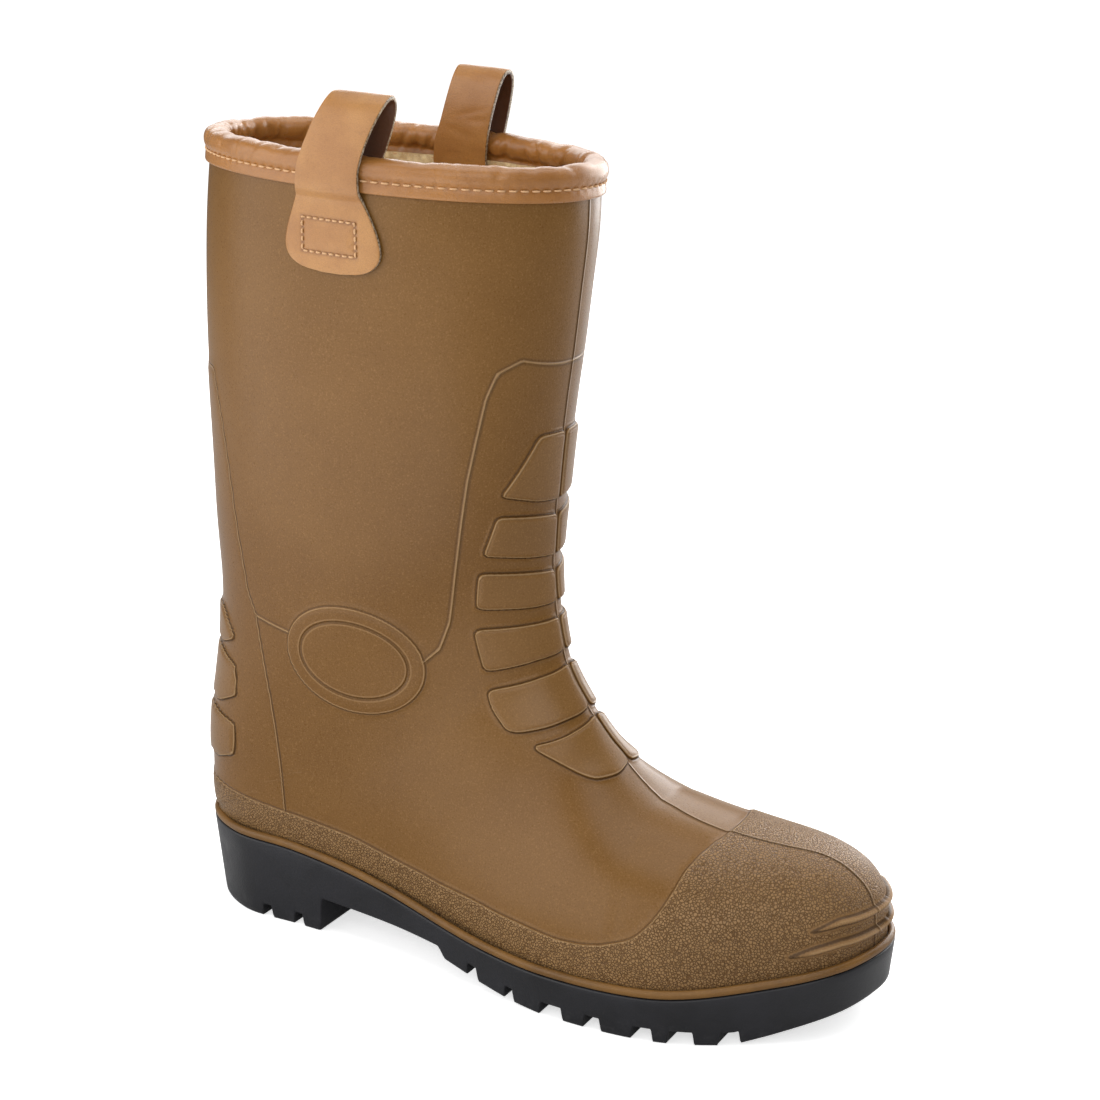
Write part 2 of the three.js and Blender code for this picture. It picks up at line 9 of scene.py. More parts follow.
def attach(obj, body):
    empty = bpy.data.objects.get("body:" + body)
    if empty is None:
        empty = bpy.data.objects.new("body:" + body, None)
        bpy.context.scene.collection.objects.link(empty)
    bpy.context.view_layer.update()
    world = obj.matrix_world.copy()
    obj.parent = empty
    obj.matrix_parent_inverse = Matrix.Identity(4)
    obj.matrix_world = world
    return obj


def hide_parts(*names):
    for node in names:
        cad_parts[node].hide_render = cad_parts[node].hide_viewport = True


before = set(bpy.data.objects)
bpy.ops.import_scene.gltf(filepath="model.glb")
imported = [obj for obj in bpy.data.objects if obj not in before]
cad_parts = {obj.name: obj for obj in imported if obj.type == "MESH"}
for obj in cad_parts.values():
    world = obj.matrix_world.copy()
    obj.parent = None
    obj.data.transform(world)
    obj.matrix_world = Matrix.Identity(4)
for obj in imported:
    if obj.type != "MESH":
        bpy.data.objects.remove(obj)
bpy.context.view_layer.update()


# Outsole: a black moulded rubber unit with a heel block, arch and toe spring.
# The side wall leans in a little towards the ground, and the lugs are cut from both
# edges and stop at a web along the middle.
sole_length = 0.305
ball_width = 0.1095
heel_height = 0.037
ball_height = 0.0185
toe_height = 0.0315
sole_draft = 0.09
tread_depth = 0.0055
web_width = 0.014
heel_back = -0.131 * sole_length


def columns(names, values):
    """Table with a name for each column, from the given rows."""
    table = np.array(values, dtype=float)
    return {name: table[:, i] for i, name in enumerate(names.split())}


def along_curve(keys, values, at):
    """Smooth value between listed points."""
    last = len(keys) - 1
    before = np.maximum(np.arange(last + 1) - 1, 0)
    after = np.minimum(np.arange(last + 1) + 1, last)
    slope = (values[after] - values[before]) / (keys[after] - keys[before])
    at = np.asarray(at, dtype=float)
    i = np.clip(np.searchsorted(keys, at, side="left") - 1, 0, last - 1)
    span = keys[i + 1] - keys[i]
    t = np.clip((at - keys[i]) / span, 0, 1)
    rise = (3 - 2 * t) * t * t
    leave = t * (1 - t) ** 2 * span * slope[i]
    arrive = t * t * (1 - t) * span * slope[i + 1]
    return values[i] + (values[i + 1] - values[i]) * rise + leave - arrive


def step_up(low, high, value):
    """0 below low and 1 above high, with a smooth rise between them."""
    t = np.clip((value - low) / (high - low), 0, 1)
    return t * t * (3 - 2 * t)


sole_outline = columns("along side", [
    [1.0, 0.168],
    [0.976, -0.265],
    [0.9, -0.606],
    [0.78, -0.96],
    [0.62, -1.03],
    [0.36, -0.8],
    [0.2, -0.78],
    [0.1, -0.757],
    [0.026, -0.484],
    [0.0, 0],
    [0.026, 0.484],
    [0.1, 0.757],
    [0.2, 0.78],
    [0.39, 0.61],
    [0.7, 0.965],
    [0.81, 0.945],
    [0.89, 0.84],
    [0.95, 0.66],
    [0.987, 0.42],
])
sole_top_line = columns("along height", [
    [0.0, heel_height],
    [0.22, heel_height - 0.002],
    [0.5, ball_height + 0.0012],
    [0.75, ball_height],
    [0.9, 0.55 * ball_height + 0.45 * toe_height],
    [1.0, toe_height],
])
sole_under_line = columns("along height", [
    [0.0, 0.03],
    [0.03, 0],
    [0.236, 0],
    [0.241, 0.43],
    [0.33, 0.38],
    [0.44, 0.33],
    [0.45, 0.2],
    [0.51, 0.1],
    [0.56, 0.035],
    [0.61, 0],
    [0.86, 0],
    [0.9, 0.1],
    [0.94, 0.22],
    [1.0, 0.4],
])
lug_gaps = columns("start end", [
    [0.138, 0.154],
    [0.191, 0.206],
    [0.491, 0.508],
    [0.554, 0.568],
    [0.61, 0.643],
    [0.675, 0.698],
    [0.741, 0.767],
    [0.787, 0.817],
    [0.846, 0.868],
])


def sole_top(x):
    """Height of the sole's top edge, x measured from the back of the heel."""
    share = np.clip(np.asarray(x) / sole_length, 0, 1)
    return along_curve(sole_top_line["along"], sole_top_line["height"], share)


def sole_under(x):
    """Height of the sole's underside, its corners eased over a millimetre."""
    reach = np.linspace(-0.0007, 0.0007, 5)
    places = (np.asarray(x)[..., None] + reach) / sole_length
    heights = np.interp(places, sole_under_line["along"], sole_under_line["height"])
    return heel_height * heights.mean(axis=-1)


def unit(vectors):
    """Vectors brought to length 1."""
    return vectors / np.linalg.norm(vectors, axis=-1)[..., None]


def closed_outline(steps):
    """Points and inward normals of the sole's edge, from the toe tip round the outer side."""
    corner = np.stack([sole_outline["along"] * sole_length,
                       sole_outline["side"] * ball_width / 2], axis=1)
    a, b = np.roll(corner, 1, axis=0), corner
    c, d = np.roll(corner, -1, axis=0), np.roll(corner, -2, axis=0)
    gap = [np.linalg.norm(q - p, axis=1)[:, None] ** 0.5 for p, q in ((a, b), (b, c), (c, d))]
    leave = (b - a) / gap[0] - (c - a) / (gap[0] + gap[1]) + (c - b) / gap[1]
    arrive = (c - b) / gap[1] - (d - b) / (gap[1] + gap[2]) + (d - c) / gap[2]
    leave, arrive = leave * gap[1], arrive * gap[1]
    t = (np.arange(steps) / steps)[None, :, None]
    b, c, leave, arrive = (v[:, None, :] for v in (b, c, leave, arrive))
    points = (b * (2 * t ** 3 - 3 * t ** 2 + 1) + leave * (t ** 3 - 2 * t ** 2 + t)
              + c * (3 * t ** 2 - 2 * t ** 3) + arrive * (t ** 3 - t ** 2)).reshape(-1, 2)
    points = np.roll(points, -int(points[:, 0].argmax()), axis=0)
    run = unit(np.roll(points, -1, axis=0) - np.roll(points, 1, axis=0))
    return points, np.stack([run[:, 1], -run[:, 0]], axis=1)


edge_points, edge_inward = closed_outline(80)
heel_index = int(edge_points[:, 0].argmin())
edge_ring = np.arange(len(edge_points) + 1) % len(edge_points)
edge_chains = {-1: edge_ring[:heel_index + 1][::-1], 1: edge_ring[heel_index:]}


def edge_at(x, side, inset):
    """Point of the sole's edge beside x, moved inward: side -1 is the outer side."""
    chain = edge_chains[side]
    along = edge_points[chain, 0]
    y = np.interp(x, along, edge_points[chain, 1])
    inward = [np.interp(x, along, edge_inward[chain, k]) for k in (0, 1)]
    return np.stack([np.clip(x, along[0], along[-1]) + inward[0] * inset,
                     y + inward[1] * inset], axis=-1)


def numbered(points, start=0):
    """Vertex numbers for a grid of points."""
    return start + np.arange(points[..., 0].size).reshape(points.shape[:2])


def grid_faces(grid, loop_rows=False, loop_columns=False):
    """Four-sided faces over a grid of vertex numbers."""
    if loop_rows:
        grid = np.vstack([grid, grid[:1]])
    if loop_columns:
        grid = np.hstack([grid, grid[:, :1]])
    faces = np.stack([grid[:-1, :-1], grid[:-1, 1:], grid[1:, 1:], grid[1:, :-1]], axis=-1)
    return faces.reshape(-1, 4)


def make_piece(name, points, faces, material, merge=2e-6, sharp=None, values=None):
    """Mesh object in the boot's frame from points measured from the back of the heel.
    Named values, one for each point, are kept on the mesh for its material to read."""
    points = np.asarray(points, dtype=float).reshape(-1, 3) + [heel_back, 0, 0]
    mesh = bpy.data.meshes.new(name)
    mesh.from_pydata(points.tolist(), [], [list(map(int, face)) for face in faces])
    for value_name, numbers in (values or {}).items():
        layer = mesh.attributes.new(value_name, "FLOAT", "POINT")
        layer.data.foreach_set("value", np.asarray(numbers, dtype=float).ravel())
    shape = bmesh.new()
    shape.from_mesh(mesh)
    bmesh.ops.remove_doubles(shape, verts=shape.verts, dist=merge)
    bmesh.ops.dissolve_degenerate(shape, edges=shape.edges, dist=merge / 2)
    bmesh.ops.recalc_face_normals(shape, faces=shape.faces)
    shape.to_mesh(mesh)
    shape.free()
    mesh.polygons.foreach_set("use_smooth", [True] * len(mesh.polygons))
    if sharp is not None:
        mesh.set_sharp_from_angle(angle=math.radians(sharp))
    piece = bpy.data.objects.new(name, mesh)
    bpy.context.scene.collection.objects.link(piece)
    mesh.materials.append(material)
    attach(piece, "root")
    return piece


class NodeWork:
    """Nodes being put into one node tree."""

    def __init__(self, tree):
        self.tree = tree
        self.place = None

    def node(self, kind, *values, **named):
        """New node with its inputs fed, in their order or by name."""
        made = self.tree.nodes.new(kind)
        for socket, value in zip(made.inputs, values):
            self.feed(socket, value)
        for name, value in named.items():
            self.feed(made.inputs[name.replace("_", " ")], value)
        return made

    def feed(self, socket, value):
        if isinstance(value, bpy.types.NodeSocket):
            self.tree.links.new(value, socket)
        else:
            socket.default_value = value

    def noise(self, scale, detail=3.0, rough=0.5):
        return self.node("ShaderNodeTexNoise", Scale=scale, Detail=detail, Roughness=rough,
                         Vector=self.place).outputs["Fac"]

    def cells(self, scale, feature="F1", smooth=None, place=None):
        made = self.tree.nodes.new("ShaderNodeTexVoronoi")
        made.feature = feature
        if smooth is not None:
            made.inputs["Smoothness"].default_value = smooth
        self.feed(made.inputs["Scale"], scale)
        self.feed(made.inputs["Vector"], place or self.place)
        return made.outputs["Distance"]

    def math(self, operation, first, *others):
        """One operation over two or more values, in turn."""
        for other in others:
            made = self.node("ShaderNodeMath", first, other)
            made.operation = operation
            first = made.outputs[0]
        return first

    def times(self, *values):
        return self.math("MULTIPLY", *values)

    def size_of(self, value):
        return self.math("ABSOLUTE", value, 0.0)

    def ramp(self, value, low, high, to_low=0.0, to_high=1.0):
        made = self.node("ShaderNodeMapRange", value, low, high, to_low, to_high)
        made.interpolation_type = "SMOOTHSTEP"
        return made.outputs[0]

    def strip(self, value, start, full, leave, end):
        """Mask that is 1 between full and leave, and 0 before start and after end."""
        return self.times(self.ramp(value, start, full), self.ramp(value, leave, end, 1.0, 0.0))

    def blend(self, share, under, over):
        made = self.tree.nodes.new("ShaderNodeMix")
        made.data_type = "RGBA"
        for i, value in ((0, share), (6, under), (7, over)):
            self.feed(made.inputs[i], value)
        return made.outputs[2]

    def paint(self, under, over, *masks):
        """A colour laid over another one, as strongly as the masks say together."""
        return self.blend(self.times(*masks), under, over)


class Effect(NodeWork):
    """A node group: one effect that several materials use, each with its own values."""

    def __init__(self, name, inputs, outputs):
        super().__init__(bpy.data.node_groups.new(name, "ShaderNodeTree"))
        for way, sockets in (("INPUT", inputs), ("OUTPUT", outputs)):
            for socket_name, kind in sockets.items():
                self.tree.interface.new_socket(name=socket_name, in_out=way,
                                               socket_type="NodeSocket" + kind)
        self.given = self.tree.nodes.new("NodeGroupInput").outputs
        self.results = self.tree.nodes.new("NodeGroupOutput").inputs
        self.place = self.given["Vector"]

    def give(self, **values):
        for name, value in values.items():
            self.feed(self.results[name], value)
        return self.tree


class Finish(NodeWork):
    """A material: its nodes, and the surface shader that they feed."""

    def __init__(self, name):
        self.material = bpy.data.materials.new(name)
        self.material.use_nodes = True
        super().__init__(self.material.node_tree)
        self.surface = self.tree.nodes["Principled BSDF"]
        self.place = self.node("ShaderNodeTexCoord").outputs["Object"]

    def use(self, effect, **values):
        """Place a shared effect in this material with this material's own values."""
        made = self.tree.nodes.new("ShaderNodeGroup")
        made.node_tree = effect
        self.feed(made.inputs["Vector"], self.place)
        for name, value in values.items():
            self.feed(made.inputs[name], value)
        return made.outputs

    def set_surface(self, **values):
        for name, value in values.items():
            self.feed(self.surface.inputs[name.replace("_", " ")], value)

    def stored(self, name):
        """A value kept on the mesh, point by point."""
        made = self.tree.nodes.new("ShaderNodeAttribute")
        made.attribute_name = name
        return made.outputs["Fac"]

    def relief(self, height):
        """Fine relief, its height in metres."""
        made = self.node("ShaderNodeBump", Strength=1.0, Distance=1.0, Height=height)
        self.set_surface(Normal=made.outputs["Normal"])


def tone(red, green, blue):
    """Colour as a shader takes it, from the usual 0 to 255 values."""
    def channel(value):
        value /= 255
        return value / 12.92 if value <= 0.04045 else ((value + 0.055) / 1.055) ** 2.4
    return (channel(red), channel(green), channel(blue), 1.0)


def make_fine_grain():
    """Small even grain, with a mask for colour and gloss and a height for relief."""
    effect = Effect("fine_grain", {"Vector": "Vector", "Scale": "Float", "Depth": "Float"},
                    {"Mask": "Float", "Height": "Float"})
    mask = effect.noise(effect.given["Scale"], 3.0, 0.65)
    pits = effect.cells(effect.times(effect.given["Scale"], 0.7))
    height = effect.math("ADD", mask, effect.times(pits, 0.5))
    return effect.give(Mask=mask, Height=effect.times(height, effect.given["Depth"]))


def make_broad_patches():
    """Slow drift between two colours, as moulded plastic and leather have."""
    effect = Effect("broad_patches",
                    {"Vector": "Vector", "Scale": "Float", "Main": "Color", "Second": "Color"},
                    {"Colour": "Color", "Mask": "Float"})
    mask = effect.ramp(effect.noise(effect.given["Scale"], 4.0, 0.6), 0.3, 0.7)
    colour = effect.blend(mask, effect.given["Main"], effect.given["Second"])
    return effect.give(Colour=colour, Mask=mask)


fine_grain = make_fine_grain()
broad_patches = make_broad_patches()


def rubber_finish():
    finish = Finish("black_sole_rubber")
    patches = finish.use(broad_patches, Scale=30.0, Main=tone(22, 22, 25), Second=tone(33, 33, 38))
    grain = finish.use(fine_grain, Scale=1400.0, Depth=0.00007)
    height_up = finish.node("ShaderNodeSeparateXYZ", Vector=finish.place).outputs["Z"]
    low_down = finish.ramp(height_up, 0.0, 0.012, 1.0, 0.0)
    scuffed = finish.ramp(finish.noise(220.0, 5.0, 0.7), 0.45, 0.75)
    colour = finish.paint(patches["Colour"], tone(80, 79, 80), low_down, scuffed, 0.3)
    finish.set_surface(Base_Color=colour, Specular_IOR_Level=0.45,
                       Roughness=finish.ramp(patches["Mask"], 0.0, 1.0, 0.3, 0.46))
    finish.relief(grain["Height"])
    return finish.material


def outsole_stations():
    """Places along the sole, closer at its ends and at the edges of each gap."""
    back, tip = edge_points[heel_index, 0], edge_points[0, 0]
    ends = back + 0.5 * (1 - np.cos(np.pi * np.linspace(0, 1, 170))) * (tip - back)
    near = np.array([-0.0011, -0.0006, -0.00025, 0, 0.00025, 0.0006, 0.0011])
    gaps = np.concatenate([lug_gaps["start"], lug_gaps["end"], [0.236, 0.241, 0.44, 0.45]])
    cuts = (gaps[:, None] * sole_length + near).ravel()
    places = np.unique(np.concatenate([ends, cuts]))
    kept = np.concatenate([[True], np.diff(places) > 3e-5])
    kept[-1] = True
    return places[kept]


def lug_gap_depth(x):
    """How high the gaps between the lugs reach at x."""
    depth = np.zeros_like(x)
    for start, end in zip(lug_gaps["start"], lug_gaps["end"]):
        opening = step_up(-0.0005, 0.0005, x - start * sole_length)
        closing = step_up(-0.0005, 0.0005, end * sole_length - x)
        depth = np.maximum(depth, opening * closing)
    return tread_depth * depth


def make_outsole():
    x = outsole_stations()
    top = sole_top(x)
    under = sole_under(x)
    low = under + lug_gap_depth(x)
    lean = sole_draft * (top - low)
    wall = [(0.003, top), (0.0007, top), (0.0002, top - 0.0002), (0 * x, top - 0.0008)]
    for share in (0.2, 0.4, 0.6, 0.8, 0.95):
        wall.append((lean * share, top - 0.0008 + share * (low + 0.0016 - top)))
    wall += [(lean + 0.0001, low + 0.0008), (lean + 0.0004, low + 0.0002), (lean + 0.0011, low)]

    half = web_width / 2
    web = [(half + 0.0006, low), (half, low * 0.75 + under * 0.25),
           (half - 0.0002, under + 0.0003), (half - 0.0008, under)]

    def moved_in(side, inset):
        start = edge_at(x, side, 0.0)
        return start + (edge_at(x, side, 1.0) - start) * (inset * np.ones_like(x))[:, None]
    low_edge = [moved_in(side, lean + 0.0011)[:, 1] for side in (-1, 1)]
    ring = {side: [np.column_stack([moved_in(side, inset), height]) for inset, height in wall]
            for side in (-1, 1)}
    for side, points in ring.items():
        corner = points[-1][:, 0]
        for width, height in web:
            points.append(np.column_stack([corner, np.clip(side * width, *low_edge), height]))
    points = np.stack(ring[-1] + ring[1][::-1], axis=1)
    sole = make_piece("outsole_rubber", points, grid_faces(numbered(points), loop_columns=True),
                      rubber_finish(), sharp=50)
    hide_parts("outsole")


make_outsole()


# Upper: one brown moulding from the toe cap to the rim, satin and faintly speckled.
# Pads, ankle discs, toe ribs and the foxing band with its pebbled grain are raised in
# the mould, and a fine parting seam runs down the front and the back.
shaft_width = 0.102
ankle_height = 0.15
rim_height = 0.3215
wall_thickness = 0.0025
welt_width = 0.004
clearance = 0.0003
band_raise = 0.001
pad_raise = 0.0018
disc_raise = 0.0009
rib_raise = 0.0022
rib_height = 0.0027
heel_panel_raise = 0.0005

levels = columns("up height", [
    [0, 0],
    [0.247, heel_height],
    [1, ankle_height],
    [2, rim_height],
    [3, 2 * rim_height - ankle_height],
])
crest_line = columns("along up", [
    [0.69, 0.512],
    [0.74, 0.49],
    [0.8, 0.472],
    [0.86, 0.46],
    [1.0, 0.44],
])
boot_sections = columns(
    "at back_along back_up front_along front_up outer inner widest back_edge front_edge", [
        [0, 0.695, 0.027, 0.695, 0.51, 1.048, 0.96, 0.3, 4, 2.15],
        [1, 0.643, 0.027, 0.675, 0.535, 1.04, 0.906, 0.29, 4, 2.1],
        [2, 0.584, 0.027, 0.654, 0.567, 1.012, 0.817, 0.28, 3.8, 2.05],
        [3, 0.508, 0.033, 0.633, 0.605, 0.937, 0.713, 0.27, 3.6, 2],
        [4, 0.42, 0.053, 0.613, 0.643, 0.843, 0.64, 0.27, 3.4, 2],
        [5, 0.328, 0.08, 0.593, 0.692, 0.78, 0.645, 0.27, 3.2, 2],
        [6, 0.23, 0.107, 0.577, 0.737, 0.768, 0.728, 0.28, 3, 2],
        [7, 0.131, 0.12, 0.562, 0.783, 0.776, 0.776, 0.29, 2.9, 2],
        [8, 0.043, 0.147, 0.55, 0.833, 0.786, 0.786, 0.3, 2.8, 2],
        [9, 0.01, 0.253, 0.542, 0.893, 0.791, 0.791, 0.32, 2.7, 2],
        [10, 0.004, 0.387, 0.536, 0.957, 0.799, 0.799, 0.35, 2.6, 2],
        [11, 0.005, 0.52, 0.532, 1.023, 0.814, 0.814, 0.38, 2.5, 2],
        [12, 0.015, 0.653, 0.53, 1.093, 0.837, 0.837, 0.42, 2.4, 2],
        [13, 0.024, 0.787, 0.532, 1.175, 0.865, 0.865, 0.45, 2.3, 2.05],
        [14, 0.026, 0.94, 0.536, 1.262, 0.896, 0.896, 0.47, 2.2, 2.1],
        [15, 0.021, 1.105, 0.542, 1.367, 0.93, 0.93, 0.49, 2.15, 2.1],
        [16, 0.019, 1.28, 0.55, 1.478, 0.961, 0.961, 0.5, 2.1, 2.1],
        [17, 0.018, 1.466, 0.56, 1.595, 0.982, 0.982, 0.5, 2.1, 2.1],
        [18, 0.02, 1.653, 0.57, 1.729, 0.993, 0.993, 0.5, 2.1, 2.1],
        [19, 0.027, 1.845, 0.579, 1.857, 1, 1, 0.5, 2.1, 2.1],
        [20, 0.04, 2.028, 0.581, 1.977, 1, 1, 0.5, 2.1, 2.1],
    ])
fore_start = 0.695 * sole_length
cap_start = 0.84 * sole_length
cap_round = 3.0
tuck = 0.014
side_height = 0.009
tip_side = 0.168 * ball_width / 2
rim_place = 21
foot_places = 10
shin_top = 0.235
half_round = 0.165
far_off_line = -0.03


def height_of(up):
    """Height for a step of the levels: 1 is the ankle, 2 the rim."""
    return np.interp(up, levels["up"], levels["height"])


def side_edge(x, side, inset):
    """How far the inset outline reaches to one side of the foot at x."""
    chain = edge_chains[side]
    moved = edge_points[chain] + edge_inward[chain] * inset
    order = np.argsort(moved[:, 0])
    return np.interp(x, moved[order, 0], moved[order, 1])


def toe_sections(place, grow):
    """Sections of the toe dome: place 0 is its tip, and grow moves the skin outward."""
    reach = sole_length - welt_width + grow - 0.00005
    x = fore_start + (reach - fore_start) * np.cos(place * np.pi / 2)
    run = (x - fore_start) / (reach - fore_start)
    cap = np.clip((x - cap_start) / (reach - cap_start), 0, 1)
    dome = (1 - cap ** cap_round) ** (1 / cap_round)
    middle = tip_side * run * run
    low = sole_top(x) - tuck
    widest = sole_top(x) + side_height
    crest = height_of(along_curve(crest_line["along"], crest_line["up"], x / sole_length)) + grow
    top = widest + (crest - widest) * dome
    return {
        "back": np.stack([x, low], axis=-1),
        "front": np.stack([x, top], axis=-1),
        "middle": middle,
        "outer": middle - side_edge(x, -1, welt_width - grow),
        "inner": side_edge(x, 1, welt_width - grow) - middle,
        "widest": (widest - low) / (top - low),
        "back_edge": np.full_like(x, boot_sections["back_edge"][0]),
        "front_edge": np.full_like(x, boot_sections["front_edge"][0]),
    }


def leg_sections(place, grow):
    """Sections from the forefoot round the ankle to the rim, fanned like a bent elbow."""
    def value(name):
        return along_curve(boot_sections["at"], boot_sections[name], place - 1)
    back = np.stack([value("back_along") * sole_length, height_of(value("back_up"))], axis=-1)
    front = np.stack([value("front_along") * sole_length, height_of(value("front_up"))], axis=-1)
    way = unit(front - back)
    high = np.clip((place - foot_places) / (rim_place - foot_places), 0, 1)
    half = (ball_width / 2 - welt_width) * (1 - high) + shaft_width / 2 * high
    return {
        "back": back - way * grow,
        "front": front + way * grow,
        "middle": np.zeros_like(place),
        "outer": value("outer") * half + grow,
        "inner": value("inner") * half + grow,
        "widest": value("widest"),
        "back_edge": value("back_edge"),
        "front_edge": value("front_edge"),
    }


def sections(place, grow):
    """Sections of the boot: places under 1 are the toe, 21 is the rim."""
    place = np.asarray(place, dtype=float)
    toe, leg = toe_sections(np.clip(place, 0, 1), grow), leg_sections(np.maximum(place, 1), grow)
    chosen = {}
    for name in toe:
        pick = place < 1
        chosen[name] = np.where(pick[..., None] if toe[name].ndim > place.ndim else pick,
                                toe[name], leg[name])
    return chosen


def skin(s, turn):
    """Point of the skin: turn 0 is the crest or shin, a quarter the outer side."""
    angle = turn * 2 * np.pi
    up, side = np.cos(angle), np.sin(angle)
    edge = np.where(up > 0, s["front_edge"], s["back_edge"])
    reach = (np.abs(up) ** edge + np.abs(side) ** edge) ** (-1 / edge)
    rise = s["widest"] + up * reach * np.where(up > 0, 1 - s["widest"], s["widest"])
    half = np.where(side > 0, s["outer"], s["inner"])
    along = s["back"] + (s["front"] - s["back"]) * rise[..., None]
    return np.stack([along[..., 0], s["middle"] - side * reach * half, along[..., 1]], axis=-1)


def at_rows(s):
    """Sections ready to be met with a second, sideways, direction."""
    return {name: v[:, None, :] if v.ndim == 2 else v[:, None] for name, v in s.items()}


def lengths_along(gaps):
    """Running total of the gaps between points, from 0."""
    return np.concatenate([[0], np.cumsum(gaps)])


def row_places(front_step, high_step, toe_rows):
    """Places of the rows, close together on the instep and the shin."""
    toe = (np.arange(toe_rows) / toe_rows) ** 1.3
    dense = np.linspace(1, rim_place, 4001)
    front = sections(dense, 0)["front"]
    way = np.linalg.norm(np.diff(front, axis=0), axis=1)
    count = lengths_along(way / np.where(front[1:, 1] < shin_top, front_step, high_step))
    total = int(round(count[-1]))
    leg = np.interp(np.linspace(0, count[-1], total + 1), count, dense)
    return np.concatenate([toe, leg])


def column_shares(near, near_length, count):
    """Shares of the way from the front line to the back line, closer near the front."""
    first = np.array([0, 0.00035, 0.0007, 0.0012])
    close = np.arange(0.002, near_length, near)
    rest = np.linspace(near_length, half_round, count - len(first) - len(close))
    return np.concatenate([first, close, rest]) / half_round


def skin_grid(places, shares, grow, floor_lift, side):
    """Turns and points over one side of the boot, down to a height above the sole."""
    s = at_rows(sections(places, grow))
    low, high = np.full((len(places), 1), 0.02), np.full((len(places), 1), 0.5)

    def above(turn):
        point = skin(s, side_turn(turn, side))
        return point[..., 2] - sole_top(point[..., 0]) - floor_lift
    whole = above(high) >= 0
    for _ in range(40):
        middle = (low + high) / 2
        inside = above(middle) >= 0
        low, high = np.where(inside, middle, low), np.where(inside, high, middle)
    end = np.where(whole, 0.5, low)
    dense = np.linspace(0, 1, 401)[None, :] * end
    path = skin(s, side_turn(dense, side))
    gaps = np.linalg.norm(np.diff(path, axis=1), axis=2)
    length = np.concatenate([np.zeros((len(places), 1)), np.cumsum(gaps, axis=1)], axis=1)
    turn = np.empty((len(places), len(shares)))
    for i in range(len(places)):
        turn[i] = np.interp(shares * length[i, -1], length[i], dense[i])
    return side_turn(turn, side), whole[:, 0]


def side_turn(turn, side):
    return turn if side < 0 else 1 - turn


def surface_normals(places, turn, grow):
    """Outward directions of the skin over a grid of rows and turns."""
    tiny_place, tiny_turn = 2e-3, 2e-4
    near_rows = [at_rows(sections(np.clip(places + d, 1e-3, rim_place), grow))
                 for d in (-tiny_place, tiny_place)]
    up = skin(near_rows[1], turn) - skin(near_rows[0], turn)
    s = at_rows(sections(np.maximum(places, 1e-3), grow))
    round_way = skin(s, turn + tiny_turn) - skin(s, turn - tiny_turn)
    normal = np.cross(up, round_way)
    normal /= np.maximum(np.linalg.norm(normal, axis=-1), 1e-12)[..., None]
    return normal


def rounded_corners(points, radius, steps=5):
    """Closed outline with its corners rounded."""
    points = np.asarray(points, dtype=float)
    out = []
    for i, corner in enumerate(points):
        before, after = points[i - 1], points[(i + 1) % len(points)]
        cut = [min(radius, np.linalg.norm(p - corner) / 2.2) for p in (before, after)]
        start = corner + (before - corner) / np.linalg.norm(before - corner) * cut[0]
        end = corner + (after - corner) / np.linalg.norm(after - corner) * cut[1]
        for t in np.linspace(0, 1, steps):
            out.append(start * (1 - t) ** 2 + corner * 2 * t * (1 - t) + end * t * t)
    return np.array(out)


def outline_distance(flat, normal, axes, points, closed=True):
    """Distance along the surface from a drawn line: positive inside a closed one, and
    beside an open one on its left, with a mask that fades past its ends."""
    start = points if closed else points[:-1]
    end = np.roll(points, -1, axis=0) if closed else points[1:]
    best, along = np.full(len(flat), 1e9), np.ones(len(flat))
    away = np.zeros((len(flat), 2))
    inside = np.zeros(len(flat), dtype=bool)
    for k, (a, b) in enumerate(zip(start, end)):
        run = b - a
        t = ((flat - a) @ run) / max(run @ run, 1e-18)
        gap = flat - (a + np.clip(t, 0, 1)[:, None] * run)
        size = np.linalg.norm(gap, axis=1)
        closer = size < best
        best[closer], away[closer] = size[closer], gap[closer]
        if not closed:
            inside[closer] = (run[0] * gap[:, 1] - run[1] * gap[:, 0])[closer] > 0
            past = np.maximum(-t if k == 0 else 0 * t, t - 1 if k == len(start) - 1 else 0 * t)
            along[closer] = 1 - np.clip(past[closer] * np.linalg.norm(run) / 0.0008, 0, 1)
        elif a[1] != b[1]:
            crosses = (a[1] > flat[:, 1]) != (b[1] > flat[:, 1])
            hit = a[0] + (flat[:, 1] - a[1]) * run[0] / run[1]
            inside ^= crosses & (flat[:, 0] < hit)
    away /= np.maximum(best, 1e-12)[:, None]
    lean = away[:, 0] * normal[:, axes[0]] + away[:, 1] * normal[:, axes[1]]
    true = best / np.sqrt(np.clip(1 - lean * lean, 0.12, 1))
    signed = np.where(inside, true, -true)
    return signed if closed else (signed, along)


shin_pads = columns(
    "top_middle top_half top_side top_reach low_reach low_side low_half low_middle", [
        [1.408, 1.409, 1.409, 0.26, 0.46, 1.275, 1.254, 1.247],
        [1.211, 1.22, 1.228, 0.46, 0.49, 1.134, 1.121, 1.113],
        [1.076, 1.085, 1.093, 0.49, 0.47, 1.003, 0.999, 1.001],
        [0.958, 0.954, 0.947, 0.47, 0.43, 0.829, 0.857, 0.87],
        [0.832, 0.812, 0.78, 0.43, 0.435, 0.669, 0.703, 0.722],
        [0.701, 0.677, 0.642, 0.415, 0.355, 0.573, 0.576, 0.589],
    ])
heel_pads = columns("top top_along shoulder shoulder_along side side_along low low_along", [
    [0.89, 0.072, 0.825, 0.104, 0.81, 0.098, 0.787, 0.07],
    [0.77, 0.064, 0.742, 0.106, 0.656, 0.108, 0.613, 0.064],
    [0.587, 0.05, 0.57, 0.102, 0.474, 0.098, 0.444, 0.056],
])
